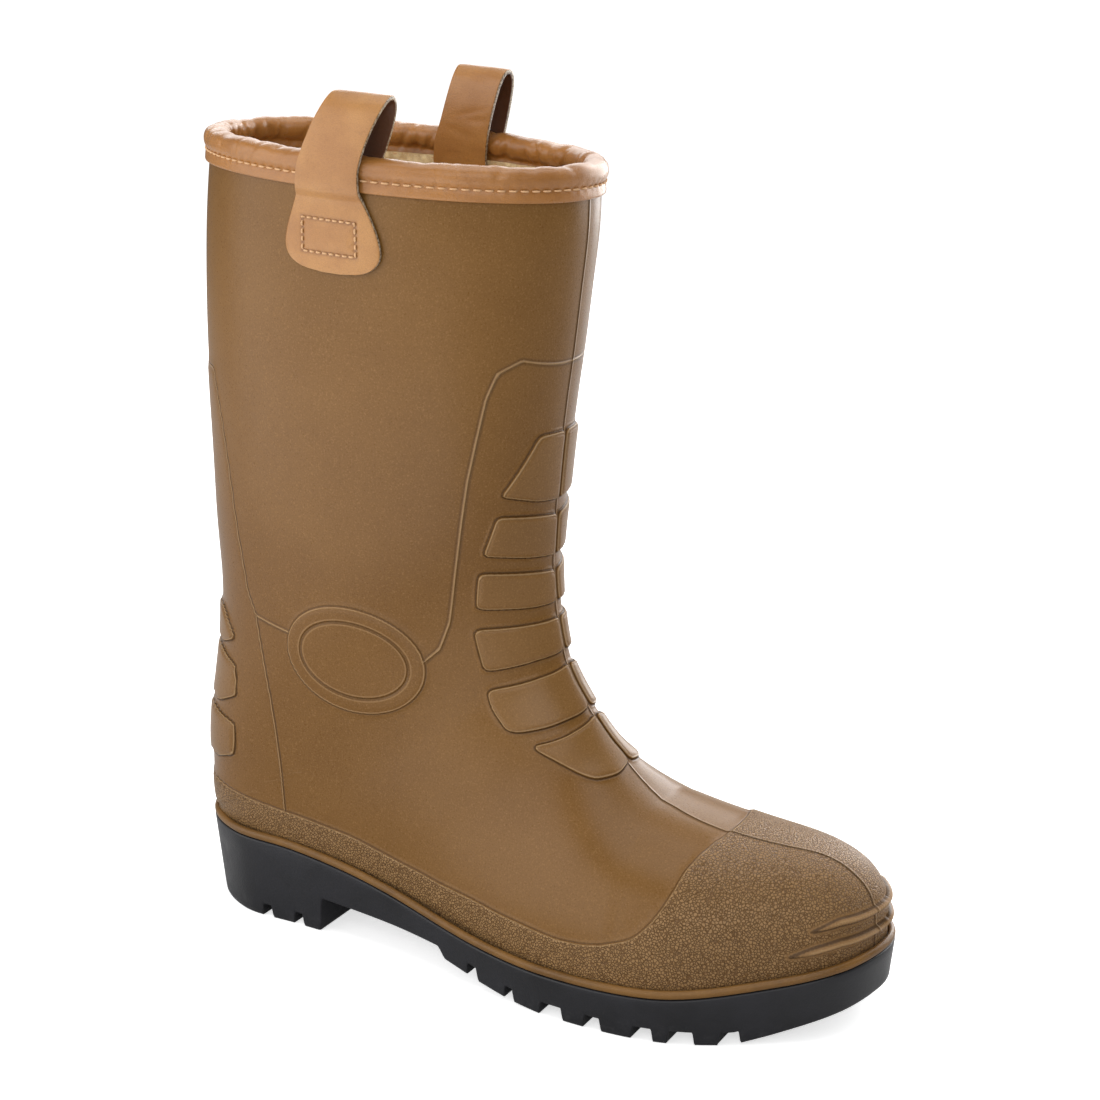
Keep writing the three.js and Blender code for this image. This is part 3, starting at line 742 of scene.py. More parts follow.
band_line = columns("along up", [
    [-0.1, 0.38],
    [0.06, 0.37],
    [0.12, 0.358],
    [0.208, 0.341],
    [0.289, 0.318],
    [0.368, 0.276],
    [0.434, 0.248],
    [0.537, 0.228],
    [0.635, 0.221],
    [0.669, 0.227],
    [0.701, 0.242],
    [0.735, 0.268],
    [0.755, 0.314],
    [0.769, 0.371],
    [0.775, 0.425],
    [0.788, 0.46],
    [0.808, 0.482],
    [0.82, 0.51],
    [0.83, 0.6],
])
toe_ribs = columns("start_along start_up bend_along bend_up end_up", [
    [0.931, 0.302, 0.957, 0.321, 0.334],
    [0.91, 0.24, 0.96, 0.27, 0.286],
])
front_seam = columns("along side", [
    [0.3, 0],
    [0.62, -0.01],
    [0.7, -0.05],
    [0.755, -0.1],
    [0.81, -0.105],
    [0.87, -0.06],
    [0.92, 0.025],
    [0.96, 0.035],
    [1.1, 0.025],
])
shin_line = columns("along up", [
    [0.62, 1.568],
    [0.556, 1.568],
    [0.531, 1.586],
    [0.508, 1.56],
    [0.495, 1.504],
    [0.48, 1.395],
    [0.469, 1.313],
    [0.452, 1.15],
    [0.444, 1.075],
    [0.433, 0.963],
    [0.419, 0.887],
    [0.398, 0.847],
])
heel_panel_line = columns("along up", [
    [0.08, 1.5],
    [0.098, 1.38],
    [0.11, 1.264],
    [0.122, 1.123],
    [0.137, 0.975],
    [0.152, 0.914],
    [0.16, 0.815],
    [0.171, 0.673],
    [0.18, 0.498],
    [0.186, 0.27],
])
disc_place = np.array([0.303 * sole_length, height_of(0.834)])
disc_reach = np.array([0.097 * sole_length, 0.152 * ankle_height])
disc_groove = 0.0065
disc_tilt = -0.12


def rows(table):
    """Rows of a table, their values by column name."""
    return [dict(zip(table, row)) for row in zip(*table.values())]


def sized(along, up):
    """Points in metres from shares of the sole's length and steps of the levels."""
    return np.column_stack([np.asarray(along) * sole_length, height_of(up)])


def ellipse_distance(flat, shrink):
    """Distance into the ankle disc's outline, drawn smaller by shrink."""
    turned = flat - disc_place
    along = turned[:, 0] * math.cos(disc_tilt) + turned[:, 1] * math.sin(disc_tilt)
    across = turned[:, 1] * math.cos(disc_tilt) - turned[:, 0] * math.sin(disc_tilt)
    reach = disc_reach - shrink
    size = np.hypot(along / reach[0], across / reach[1])
    slope = np.hypot(along / reach[0] ** 2, across / reach[1] ** 2) / np.maximum(size, 1e-6)
    return (1 - size) / np.maximum(slope, 1e-6)


def pad_outlines():
    """One half of each shin pad, seen from the front."""
    seam_gap = 0.0012
    for pad in rows(shin_pads):
        half = []
        for edge, parts in (("top", ("middle", "half", "side")), ("low", ("side", "half", "middle"))):
            reach = pad[edge + "_reach"] * ball_width / 2
            side = {"middle": seam_gap / 2, "half": reach / 2, "side": reach}
            half += [[side[part], height_of(pad[edge + "_" + part])] for part in parts]
        yield np.array(half)


def between(values, low, high):
    return (values > low) & (values < high)


def mould_relief(points, normal):
    """Distances at each point from the moulded relief's outlines and lines."""
    side_view, front_view, top_view = points[:, [0, 2]], points[:, [1, 2]], points[:, [0, 1]]
    forward, height = points[:, 0], points[:, 2]
    far = np.full(len(points), far_off_line)
    pads, disc, groove, ribs = (far.copy() for _ in range(4))
    front = (forward > 0.11) & between(height, 0.08, shin_top)
    for half in pad_outlines():
        for side in (-1, 1):
            outline = rounded_corners(half * [side, 1], 0.0022)
            near = front & (np.abs(height - outline[:, 1].mean()) < 0.03)
            found = outline_distance(front_view[near], normal[near], (1, 2), outline)
            pads[near] = np.maximum(pads[near], found)
    back = (forward < 0.05) & between(height, 0.055, 0.15)
    for pad in rows(heel_pads):
        outline = rounded_corners(sized(
            [-0.1, pad["top_along"], pad["shoulder_along"], pad["side_along"],
             pad["low_along"], -0.1],
            [pad["top"], pad["top"], pad["shoulder"], pad["side"], pad["low"], pad["low"]]),
            0.0022)
        found = outline_distance(side_view[back], normal[back], (0, 2), outline)
        pads[back] = np.maximum(pads[back], found)
    side_face = between(forward, 0.05, 0.135) & between(height, 0.09, 0.16)
    disc[side_face] = ellipse_distance(side_view[side_face], 0)
    groove[side_face] = ellipse_distance(side_view[side_face], disc_groove)
    band_outline = np.vstack([sized(band_line["along"], band_line["up"]),
                              sized([1.1, 1.1, -0.1], [0.6, -0.1, -0.1])])
    band = outline_distance(side_view, normal, (0, 2), rounded_corners(band_outline, 0.004))
    toe = forward > 0.27
    for rib in rows(toe_ribs):
        line = sized([rib["start_along"], rib["bend_along"], 1.1],
                     [rib["start_up"], rib["bend_up"], rib["end_up"]])
        gap, _ = outline_distance(side_view[toe], normal[toe], (0, 2), line, closed=False)
        grown = step_up(-0.003, 0.009, forward[toe] - rib["start_along"] * sole_length)
        ribs[toe] = np.maximum(ribs[toe], rib_height / 2 * grown - np.abs(gap))
    shin, shin_reach = outline_distance(side_view, normal, (0, 2),
                                        sized(shin_line["along"], shin_line["up"]), closed=False)
    link, link_reach = outline_distance(side_view, normal, (0, 2),
                                        sized([0.208, 0.153], [0.886, 0.909]), closed=False)
    nearer = np.abs(link) < np.abs(shin)
    lines = np.where(nearer, link, shin)
    reach = np.where(nearer, link_reach, shin_reach)
    panel = np.vstack([sized(heel_panel_line["along"], heel_panel_line["up"]),
                       sized([-0.2, -0.2], [0.27, 1.5])])
    heel_panel = outline_distance(side_view, normal, (0, 2), panel)
    reach = reach * step_up(-0.0006, 0.0002, -disc)
    seam_along = np.linspace(front_seam["along"][0], front_seam["along"][-1], 40)
    seam_side = along_curve(front_seam["along"], front_seam["side"], seam_along)
    seam_line = np.column_stack([seam_along * sole_length, seam_side * ball_width / 2])
    seam, seam_reach = outline_distance(top_view, normal, (0, 1), seam_line, closed=False)
    seam = np.where((seam_reach > 0) & (forward > 0.11), seam, -far_off_line)
    return {"pads": pads, "disc": disc, "groove": groove, "band": band, "ribs": ribs,
            "lines": lines, "line_reach": reach, "heel_panel": heel_panel, "seam": seam}


raised_forms = {
    "pads": (pad_raise, 0.0011, 0.00045, 1.0),
    "disc": (disc_raise, 0.001, 0.00045, 0.8),
    "band": (band_raise, 0.0009, 0.00045, 0.8),
    "heel_panel": (heel_panel_raise, 0.0008, 0.0004, 1.0),
}


def relief_height(d):
    """Height of the relief that the mesh has: its edges are soft, and bump sharpens them."""
    raised = {name: rise * step_up(-soft, soft, d[name])
              for name, (rise, soft, _, _) in raised_forms.items()}
    raised["heel_panel"] *= 1 - step_up(-raised_forms["band"][1], raised_forms["band"][1], d["band"])
    height = np.max(list(raised.values()), axis=0)
    rib = np.clip(d["ribs"] / (rib_height / 2), 0, 1)
    height += rib_raise * np.sqrt(np.clip(1 - (1 - rib) ** 2, 0, 1)) * (rib > 0)
    return height + 0.0003 * (1 - step_up(0.0, 0.0009, np.abs(d["seam"])))


def make_raised_edge():
    """Edge of a raised form, from its stored distance: a crisp lip, and masks for a painted highlight
    on its crest and painted shade at its foot.
    """
    effect = Effect("raised_edge", {"Vector": "Vector", "Distance": "Float", "Raise": "Float",
                                    "Soft": "Float", "Crisp": "Float"},
                    {"Height": "Float", "Crest": "Float", "Foot": "Float"})
    distance, soft, crisp = (effect.given[name] for name in ("Distance", "Soft", "Crisp"))
    sharp = effect.ramp(distance, effect.times(crisp, -1.0), crisp)
    wide = effect.ramp(distance, effect.times(soft, -1.0), soft)
    height = effect.times(effect.math("SUBTRACT", sharp, wide), effect.given["Raise"])
    # Crest mask for a painted highlight just inside the edge, foot mask for painted shade just
    # outside it.
    crest = effect.strip(distance, effect.times(crisp, 0.1), effect.times(crisp, 0.7),
                         effect.times(crisp, 1.0), effect.times(crisp, 1.8))
    foot = effect.strip(distance, effect.times(crisp, -1.7), effect.times(crisp, -0.8),
                        effect.times(crisp, -0.6), effect.times(crisp, 0.1))
    return effect.give(Height=height, Crest=crest, Foot=foot)


raised_edge = make_raised_edge()


def pebble_grain(finish):
    """Leather-like pebbles pressed into the band and cap: 0 in their creases, 1 on top."""
    coarse = finish.node("ShaderNodeTexNoise", Scale=420.0, Detail=3.0, Vector=finish.place)
    twist = finish.node("ShaderNodeVectorMath", coarse.outputs["Color"],
                        (0.0007, 0.0007, 0.0007), finish.place)
    twist.operation = "MULTIPLY_ADD"
    edges = finish.cells(900.0, "DISTANCE_TO_EDGE", place=twist.outputs[0])
    return finish.ramp(edges, 0.0, 0.17)


def moulded_finish():
    finish = Finish("brown_moulded_upper")
    lit, shaded = tone(196, 160, 116), tone(56, 35, 14)
    distance = {name: finish.stored(name) for name in
                ("pads", "disc", "groove", "band", "ribs", "lines", "line_reach", "heel_panel",
                 "seam")}
    grained = finish.ramp(distance["band"], -0.0002, 0.0006)
    above_band = finish.math("SUBTRACT", 1.0, grained)
    patches = finish.use(broad_patches, Scale=9.0, Main=tone(114, 78, 34), Second=tone(126, 89, 43))
    grain = finish.use(fine_grain, Scale=1500.0, Depth=0.00004)
    colour = finish.paint(patches["Colour"], tone(96, 65, 30),
                          finish.ramp(grain["Mask"], 0.3, 0.55, 0.25, 0.0))
    colour = finish.paint(colour, tone(150, 113, 68),
                          finish.ramp(grain["Mask"], 0.52, 0.72, 0.0, 0.6))
    pebbles = pebble_grain(finish)
    pebbled = finish.times(grained, finish.ramp(distance["ribs"], -0.0022, -0.0006, 1.0, 0.15))
    # Painted shade darkens the pebbles' creases. The band and cap are painted towards the lit tone,
    # and the pebble tops lighter again as a painted highlight.
    crease_shade = finish.times(finish.math("SUBTRACT", 1.0, pebbles), pebbled)
    colour = finish.paint(colour, lit, grained, 0.16)
    colour = finish.paint(colour, lit, pebbles, pebbled, 0.2)
    colour = finish.paint(colour, tone(84, 54, 24), crease_shade, 0.62)
    # Painted highlight: the raised faces of the pads are painted slightly lighter.
    colour = finish.paint(colour, lit, finish.ramp(distance["pads"], 0.0, 0.0006), 0.07)
    # Painted highlight on the crests and painted shade at the feet of the pads, disc, band, heel
    # panel, lines, groove, seam and ribs.
    heights, painted_highlights, painted_shades = [], [], []
    for name, (rise, soft, crisp, weight) in raised_forms.items():
        edge = finish.use(raised_edge, Distance=distance[name], Raise=rise, Soft=soft,
                          Crisp=crisp)
        kept = above_band if name == "heel_panel" else weight
        heights.append(finish.times(edge["Height"], kept))
        painted_highlights.append(finish.times(edge["Crest"], kept))
        painted_shades.append(finish.times(edge["Foot"], kept))
    heel_ridge = finish.strip(distance["heel_panel"], -0.0001, 0.0003, 0.0006, 0.001)
    heights.append(finish.times(heel_ridge, above_band, 0.00035))
    ridge = finish.times(finish.strip(distance["lines"], -0.0008, -0.0001, 0.0001, 0.0008),
                         distance["line_reach"])
    heights.append(finish.times(ridge, 0.0006))
    painted_highlights.append(finish.times(ridge, 0.9))
    beside = finish.strip(finish.size_of(distance["lines"]), 0.0005, 0.0008, 0.001, 0.0018)
    painted_shades.append(finish.times(beside, distance["line_reach"], 0.5))
    groove = finish.size_of(distance["groove"])
    sunk_line = finish.ramp(groove, 0.0001, 0.0008, 1.0, 0.0)
    heights.append(finish.times(sunk_line, -0.0005))
    painted_shades.append(finish.times(sunk_line, 0.45))
    painted_highlights.append(finish.times(finish.strip(groove, 0.0007, 0.001, 0.0011, 0.0016), 0.5))
    seam = finish.strip(distance["seam"], -0.0006, -0.0001, 0.0001, 0.0006)
    heights.append(finish.times(seam, 0.0003))
    painted_highlights.append(finish.times(finish.strip(distance["seam"], 0.0, 0.0003, 0.0005, 0.0009), 0.7))
    painted_shades.append(finish.times(finish.strip(distance["seam"], -0.0012, -0.0006, -0.0004, 0.0), 0.9))
    rib = distance["ribs"]
    painted_highlights.append(finish.times(finish.ramp(rib, rib_height * 0.2, rib_height * 0.45), 0.8))
    painted_shades.append(finish.strip(rib, -0.0008, -0.0002, 0.0001, 0.0005))
    # Painted shade at the feet of the relief, then painted highlight on its crests.
    colour = finish.paint(colour, shaded, finish.math("MAXIMUM", *painted_shades), 0.72)
    colour = finish.paint(colour, lit, finish.math("MAXIMUM", *painted_highlights), 0.5)
    gloss = finish.ramp(grain["Mask"], 0.3, 0.7, 0.27, 0.35)
    roughness = finish.math("ADD", gloss, finish.times(grained, 0.08))
    finish.set_surface(Base_Color=colour, Roughness=roughness, Specular_IOR_Level=0.28)
    heights += [finish.times(pebbles, pebbled, 0.00034), grain["Height"]]
    finish.relief(finish.math("ADD", *heights))
    return finish.material


def make_upper():
    places = row_places(0.00105, 0.0024, 70)
    shares = column_shares(0.0011, 0.034, 122)
    thin_rows = np.unique(np.concatenate([np.arange(0, len(places), 4), [len(places) - 1]]))
    thin_columns = np.unique(np.concatenate([np.arange(0, len(shares), 3), [len(shares) - 1]]))
    points, faces, stored, tips, start = [], [], {}, [], 0
    for side in (-1, 1):
        turn, whole = skin_grid(places, shares, 0, clearance, side)
        flat = skin(at_rows(sections(places, 0)), turn)
        normal = surface_normals(places, turn, 0)
        relief = mould_relief(flat.reshape(-1, 3), normal.reshape(-1, 3))
        height = relief_height(relief).reshape(flat.shape[:2])
        back = 0.0003 * (1 - step_up(0.0, 0.0016, (1 - shares) * half_round))
        height += np.where(whole[:, None], back[None, :], 0)
        outer = flat + normal * height[..., None]
        for name, values in relief.items():
            stored.setdefault(name, []).append(values)
        grid = numbered(outer, start)
        faces += grid_faces(grid if side > 0 else grid[:, ::-1]).tolist()
        start += grid.size
        within = at_rows(sections(places[thin_rows], -wall_thickness))
        inner = skin(within, turn[np.ix_(thin_rows, thin_columns)])
        thin = numbered(inner, start)
        faces += grid_faces(thin if side < 0 else thin[:, ::-1]).tolist()
        start += thin.size
        points += [outer.reshape(-1, 3), inner.reshape(-1, 3)]
        for name in relief:
            stored[name].append(np.full(thin.size, far_off_line))
        for a, b in zip(range(len(thin_columns) - 1), thin_columns[1:]):
            between = list(range(thin_columns[a], b + 1))
            loop = [grid[-1, c] for c in between] + [thin[-1, a + 1], thin[-1, a]]
            faces.append(loop if side > 0 else loop[::-1])
        for a in range(len(thin_rows) - 1):
            if whole[thin_rows[a + 1]]:
                break
            between = list(range(thin_rows[a], thin_rows[a + 1] + 1))
            loop = [grid[r, -1] for r in between] + [thin[a + 1, -1], thin[a, -1]]
            faces.append(loop[::-1] if side > 0 else loop)
        tips.append((grid[0], thin[0]))
    (skin_a, thin_a), (skin_b, thin_b) = tips
    faces += grid_faces(np.stack([skin_a, skin_b])).tolist()
    faces += grid_faces(np.stack([thin_b, thin_a])).tolist()
    faces.append([skin_a[-1], skin_b[-1], thin_b[-1], thin_a[-1]])
    return np.concatenate(points), faces, {n: np.concatenate(v) for n, v in stored.items()}


upper_points, upper_faces, upper_values = make_upper()
upper = make_piece("upper_moulding", upper_points, upper_faces, moulded_finish(),
                   merge=1e-6, values=upper_values)
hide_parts("upper")


# Welt: a tan bead of the same plastic round the foot of the upper.
# It sits on the rim of the sole, rounded outside, with a narrow dark gap inside it.
def welt_finish():
    finish = Finish("tan_welt_bead")
    patches = finish.use(broad_patches, Scale=60.0, Main=tone(108, 75, 33), Second=tone(128, 90, 40))
    grain = finish.use(fine_grain, Scale=1300.0, Depth=0.00006)
    colour = finish.paint(patches["Colour"], tone(154, 114, 58),
                          finish.ramp(grain["Mask"], 0.5, 0.8, 0.0, 0.4))
    finish.set_surface(Base_Color=colour, Specular_IOR_Level=0.4,
                       Roughness=finish.ramp(patches["Mask"], 0.0, 1.0, 0.36, 0.46))
    finish.relief(grain["Height"])
    return finish.material


def make_welt():
    profile = [(0.0011, 0.0), (0.0004, 0.0001), (0.0, 0.0005), (-0.0001, 0.0011),
               (-0.0001, 0.0017), (0.0001, 0.0024), (0.0006, 0.0029), (0.0013, 0.0032),
               (0.0019, 0.0031), (0.0024, 0.0026), (0.0026, 0.0018), (0.0027, 0.0003)]
    edge, inward = edge_points[::2], edge_inward[::2]
    foot = sole_top(edge[:, 0]) + clearance
    points = np.stack([np.column_stack([edge + inward * inset, foot + lift])
                       for inset, lift in profile], axis=1)
    faces = grid_faces(numbered(points), loop_rows=True, loop_columns=True)
    bead = make_piece("welt_bead", points, faces, welt_finish())
    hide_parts("welt")


make_welt()


# Fleece lining: curly pile over the inside of the shaft and foot.
# It is a sleeve of knitted backing with lumpy beige pile, covered at its top by the collar.
insole_thickness = 0.004
pile_depth = 0.0032
pile_lift = clearance + insole_thickness + 0.002


def pile_bumps(points, size, amount, seed):
    """Soft lumps for a set of points, the same on every run."""
    shift = Vector((seed * 3.7, seed * 1.9, seed * 2.3))
    return amount * np.array([hills.noise(Vector(p) / size + shift) for p in points.tolist()])


def make_pile_curls():
    """Curly pile: shaded hollows, lit fibre ends, and the height of the curls."""
    effect = Effect("pile_curls", {"Vector": "Vector", "Scale": "Float"},
                    {"Hollows": "Float", "Ends": "Float", "Height": "Float"})
    scale = effect.given["Scale"]
    curls = effect.cells(scale, "SMOOTH_F1", smooth=0.6)
    fibres = effect.noise(effect.times(scale, 2.7), 4.0, 0.75)
    height = effect.math("ADD", effect.times(curls, -0.0011), effect.times(fibres, 0.0005))
    return effect.give(Hollows=effect.ramp(curls, 0.15, 0.75), Height=height,
                       Ends=effect.ramp(fibres, 0.45, 0.75))


pile_curls = make_pile_curls()


def fleece_finish(name, light, dark, curl_scale):
    finish = Finish(name)
    patches = finish.use(broad_patches, Scale=45.0, Main=light, Second=dark)
    curls = finish.use(pile_curls, Scale=curl_scale)
    colour = finish.paint(patches["Colour"], tone(180, 138, 82), curls["Hollows"], 0.6)
    colour = finish.paint(colour, tone(252, 236, 200), curls["Ends"], 0.5)
    finish.set_surface(Base_Color=colour, Roughness=0.95, Sheen_Weight=0.35)
    finish.relief(curls["Height"])
    return finish.material


def make_lining():
    places = row_places(0.0028, 0.0028, 30)
    places = np.unique(np.concatenate([places[places <= 20.8], np.linspace(8.6, 9.8, 40)]))
    shares = np.linspace(0, 1, 62)
    grow = -wall_thickness - pile_depth
    points, faces, ends, start = [], [], [], 0
    for side in (-1, 1):
        turn, whole = skin_grid(places, shares, grow, pile_lift, side)
        flat = skin(at_rows(sections(places, grow)), turn)
        normal = surface_normals(places, turn, grow)
        lumps = pile_bumps(flat.reshape(-1, 3), 0.006, 0.0010, 1)
        lumps += pile_bumps(flat.reshape(-1, 3), 0.0028, 0.0006, 2)
        flat = flat + normal * (lumps.reshape(flat.shape[:2]) * (shares > 0))[..., None]
        grid = numbered(flat, start)
        faces += grid_faces(grid if side < 0 else grid[:, ::-1]).tolist()
        points.append(flat.reshape(-1, 3))
        ends.append(flat[~whole, -1])
        start += grid.size
    finish = fleece_finish("beige_fleece_pile", tone(248, 226, 178), tone(236, 204, 150), 330.0)
    make_piece("fleece_lining", np.concatenate(points), faces, finish, merge=1e-5)
    return ends


lining_foot = make_lining()


# Footbed: a soft board faced with the same pile, lying on the sole inside the upper.
# It ends at the foot of the lining all the way round.
def tube_faces(grid):
    """Faces of a tube with both of its ends filled."""
    return grid_faces(grid, loop_columns=True).tolist() + [grid[0].tolist(), grid[-1][::-1].tolist()]


def make_footbed():
    outer, inner = lining_foot
    across = np.linspace(0, 1, 40)[None, :, None]
    top = outer[:, None] * (1 - across) + inner[:, None] * across
    lumps = pile_bumps(top.reshape(-1, 3), 0.006, 0.0009, 3).reshape(top.shape[:2])
    top[..., 2] = sole_top(top[..., 0]) + pile_lift + lumps
    base = top.copy()
    base[..., 2] = sole_top(base[..., 0]) + clearance
    ring = np.concatenate([top, base[:, ::-1]], axis=1)
    finish = fleece_finish("footbed_pile", tone(232, 206, 160), tone(212, 180, 130), 420.0)
    footbed = make_piece("fleece_footbed", ring, tube_faces(numbered(ring)), finish, merge=1e-5)
    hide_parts("insole")


make_footbed()


# Collar binding: soft tan leathercloth rolled over a foam core on the rim.
# It is turned down both faces of the wall and sewn on, so it puckers at each stitch.
stitch_pitch = 0.0043
binding_turns = 520
rim_top = sections(np.array([21.0]), 0)
rim_below = sections(np.array([20.0]), 0)


def rim_points(turn, out, up):
    """Points near the rim: up along the shaft from it, out from its skin."""
    top, low = skin(rim_top, turn), skin(rim_below, turn)
    ahead = skin(rim_top, turn + 0.002)
    away = unit(np.stack([top[..., 1] - ahead[..., 1], ahead[..., 0] - top[..., 0],
                          np.zeros_like(top[..., 0])], axis=-1))
    return top + unit(top - low) * np.asarray(up)[..., None] + away * np.asarray(out)[..., None]


def smooth_ring(points, steps):
    """Closed listed outline with points added on a smooth curve between them."""
    points = np.asarray(points, dtype=float)
    a, b = np.roll(points, 1, axis=0), points
    c, d = np.roll(points, -1, axis=0), np.roll(points, -2, axis=0)
    t = (np.arange(steps) / steps)[None, :, None]
    a, b, c, d = (v[:, None, :] for v in (a, b, c, d))
    curve = b + 0.5 * t * (c - a + t * (2 * a - 5 * b + 4 * c - d + t * (3 * (b - c) + d - a)))
    return curve.reshape(-1, 2)


def make_leather_pores():
    """Fine leather surface: small plates between creases, and pores."""
    effect = Effect("leather_pores", {"Vector": "Vector", "Scale": "Float", "Depth": "Float"},
                    {"Creases": "Float", "Height": "Float"})
    scale = effect.given["Scale"]
    plates = effect.ramp(effect.cells(scale, "DISTANCE_TO_EDGE"), 0.0, 0.2)
    worn = effect.noise(effect.times(scale, 0.16), 4.0, 0.6)
    height = effect.math("ADD", plates, effect.times(worn, 1.5))
    return effect.give(Creases=effect.math("SUBTRACT", 1.0, plates),
                       Height=effect.times(height, effect.given["Depth"]))


leather_pores = make_leather_pores()


def leather_finish(name, main, deep, gloss):
    finish = Finish(name)
    patches = finish.use(broad_patches, Scale=38.0, Main=main, Second=deep)
    grain = finish.use(fine_grain, Scale=1200.0, Depth=0.00005)
    pores = finish.use(leather_pores, Scale=1500.0, Depth=0.00003)
    colour = finish.paint(patches["Colour"], tone(128, 80, 40),
                          finish.ramp(grain["Mask"], 0.45, 0.8, 0.0, 0.3))
    colour = finish.paint(colour, tone(110, 68, 34), pores["Creases"], 0.15)
    finish.set_surface(Base_Color=colour, Coat_Weight=0.3, Coat_Roughness=0.28,
                       Roughness=finish.ramp(patches["Mask"], 0.0, 1.0, gloss, gloss + 0.08))
    finish.relief(finish.math("ADD", grain["Height"], pores["Height"]))
    return finish


def even_turns(count):
    """Turns round the rim that are the same distance apart, and the whole way round."""
    dense = np.linspace(0, 1, 2001)
    length = lengths_along(np.linalg.norm(np.diff(skin(rim_top, dense), axis=0), axis=1))
    return np.interp(np.arange(count) / count * length[-1], length, dense), length[-1]


def make_binding():
    profile = np.array([
        (0.3, -8.4), (0.5, -8.8), (1.4, -8.8), (1.75, -8.4), (1.8, -7.4), (1.75, -6.2),
        (1.6, -5.1), (1.3, -4.3), (1.6, -3.5), (2.15, -2.5), (2.5, -1.3), (2.6, 0.1),
        (2.35, 1.4), (1.7, 2.6), (0.7, 3.4), (-0.7, 3.95), (-2.3, 4.15), (-4.0, 4.0),
        (-5.6, 3.4), (-6.9, 2.2), (-7.6, 0.7), (-7.7, -0.9), (-7.3, -2.5), (-6.4, -3.9),
        (-5.2, -4.9), (-4.5, -5.6), (-4.6, -6.6), (-4.8, -8.0), (-4.8, -9.6),
        (-4.9, -11.2), (-4.5, -12.0), (-3.0, -12.0), (-2.8, -11.6), (-2.8, -6.0),
        (-2.8, 0.0), (-2.6, 0.3), (0.1, 0.3), (0.3, 0.1), (0.3, -4.5),
    ]) * 0.001
    ring = smooth_ring(profile, 2)
    turns, around = even_turns(binding_turns)
    along = np.arange(binding_turns) / binding_turns * around
    points = rim_points(turns[:, None], ring[None, :, 0], ring[None, :, 1])
    side = np.roll(points, -1, axis=0) - np.roll(points, 1, axis=0)
    down = np.roll(points, -1, axis=1) - np.roll(points, 1, axis=1)
    away = unit(np.cross(down, side))
    share = np.arange(len(ring)) / len(ring)

    def near(middle, spread):
        """Soft mask across the profile, strongest at its middle."""
        return np.exp(-((share[None, :] - middle) / spread) ** 2)
    chance = np.random.RandomState(11)
    depth = np.zeros(points.shape[:2])
    inner_side, outer_side = (0.5, 0.62), (0.3, 0.4)
    for middles, count, deepest in ((inner_side, 130, 0.0009), (outer_side, 70, 0.00045)):
        for _ in range(count):
            place = chance.uniform(0, around)
            middle, spread = chance.uniform(*middles), chance.uniform(0.04, 0.11)
            slant, width = chance.uniform(-0.03, 0.03), chance.uniform(0.0008, 0.0021)
            gap = (along[:, None] - place - slant * (share[None, :] - middle) * 1.5)
            gap = (gap + around / 2) % around - around / 2
            crease = np.exp(-(gap / width) ** 2) * near(middle, spread)
            depth -= chance.uniform(0.3, 1.0) * deepest * crease
    pucker = np.cos(2 * np.pi * along / stitch_pitch)[:, None]
    for middle in (0.19, 0.7):
        depth += 0.00014 * pucker * near(middle, 0.05)
    round_way = 2 * np.pi * along / around
    swell = 0.00022 * np.sin(round_way * 9 + 1.0) + 0.00016 * np.sin(round_way * 23)
    depth += swell[:, None] * near(0.42, 0.18)
    free = (share < 0.8)[None, :]
    points = points + away * (depth * free)[..., None]
    finish = leather_finish("tan_binding_leathercloth", tone(178, 121, 60), tone(156, 102, 46), 0.26)
    faces = grid_faces(numbered(points), loop_rows=True, loop_columns=True)
    binding = make_piece("collar_binding_roll", points, faces, finish.material)
    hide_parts("collar_binding")


make_binding()


# Collar stitches: cream thread that holds the binding on, in a row below its roll.
# It shows on both faces of the collar as short stitches sunk into the leathercloth.
stitch_length = 0.0031
outer_stitch_drop = 0.0043
inner_stitch_drop = 0.0086


def thread_finish():
    finish = Finish("cream_thread")
    grain = finish.use(fine_grain, Scale=2600.0, Depth=0.0001)
    colour = finish.blend(grain["Mask"], tone(236, 196, 150), tone(196, 146, 98))
    finish.set_surface(Base_Color=colour, Roughness=0.7)
    finish.relief(grain["Height"])
    return finish.material


def stitches(path, away, pitch, length, thick):
    """Short lengths of thread along a closed path, dipping into the leather at both ends."""
    path, away = np.vstack([path, path[:1]]), np.vstack([away, away[:1]])
    run = lengths_along(np.linalg.norm(np.diff(path, axis=0), axis=1))
    count = max(1, int(round(run[-1] / pitch)))
    points, faces = [], []
    shares = np.array([-0.5, -0.44, -0.25, 0, 0.25, 0.44, 0.5])
    rise = np.array([-0.9, 0.15, 0.75, 0.9, 0.75, 0.15, -0.9]) * thick
    size = thick * np.array([0.35, 0.85, 1, 1, 1, 0.85, 0.35])[:, None]
    round_steps = np.arange(7) / 7 * 2 * np.pi
    for k in range(count):
        middle = (k + 0.5) / count * run[-1]
        at = middle + shares * length
        core = np.column_stack([np.interp(at, run, path[:, i]) for i in range(3)])
        out = unit(np.column_stack([np.interp(at, run, away[:, i]) for i in range(3)]))
        across = np.cross(unit(core[-1] - core[0]), out)
        core = core + out * rise[:, None]
        ring = (core[:, None] + across[:, None] * (np.cos(round_steps) * size)[..., None]
                + out[:, None] * (np.sin(round_steps) * size)[..., None])
        faces += tube_faces(numbered(ring, k * len(shares) * len(round_steps)))
        points.append(ring.reshape(-1, 3))
    return np.concatenate(points), faces


def make_collar_stitches():
    turns, _ = even_turns(900)
    for name, out, drop in (("collar_stitches_outside", 0.0014, outer_stitch_drop),
                            ("collar_stitches_inside", -0.0049, inner_stitch_drop)):
        path = rim_points(turns, out, -drop)
        further = rim_points(turns, out * 2 if out > 0 else out * 1.5, -drop)
        points, faces = stitches(path, further - path, stitch_pitch, stitch_length, 0.0004)
        make_piece(name, points, faces, cream_thread)


cream_thread = thread_finish()
make_collar_stitches()


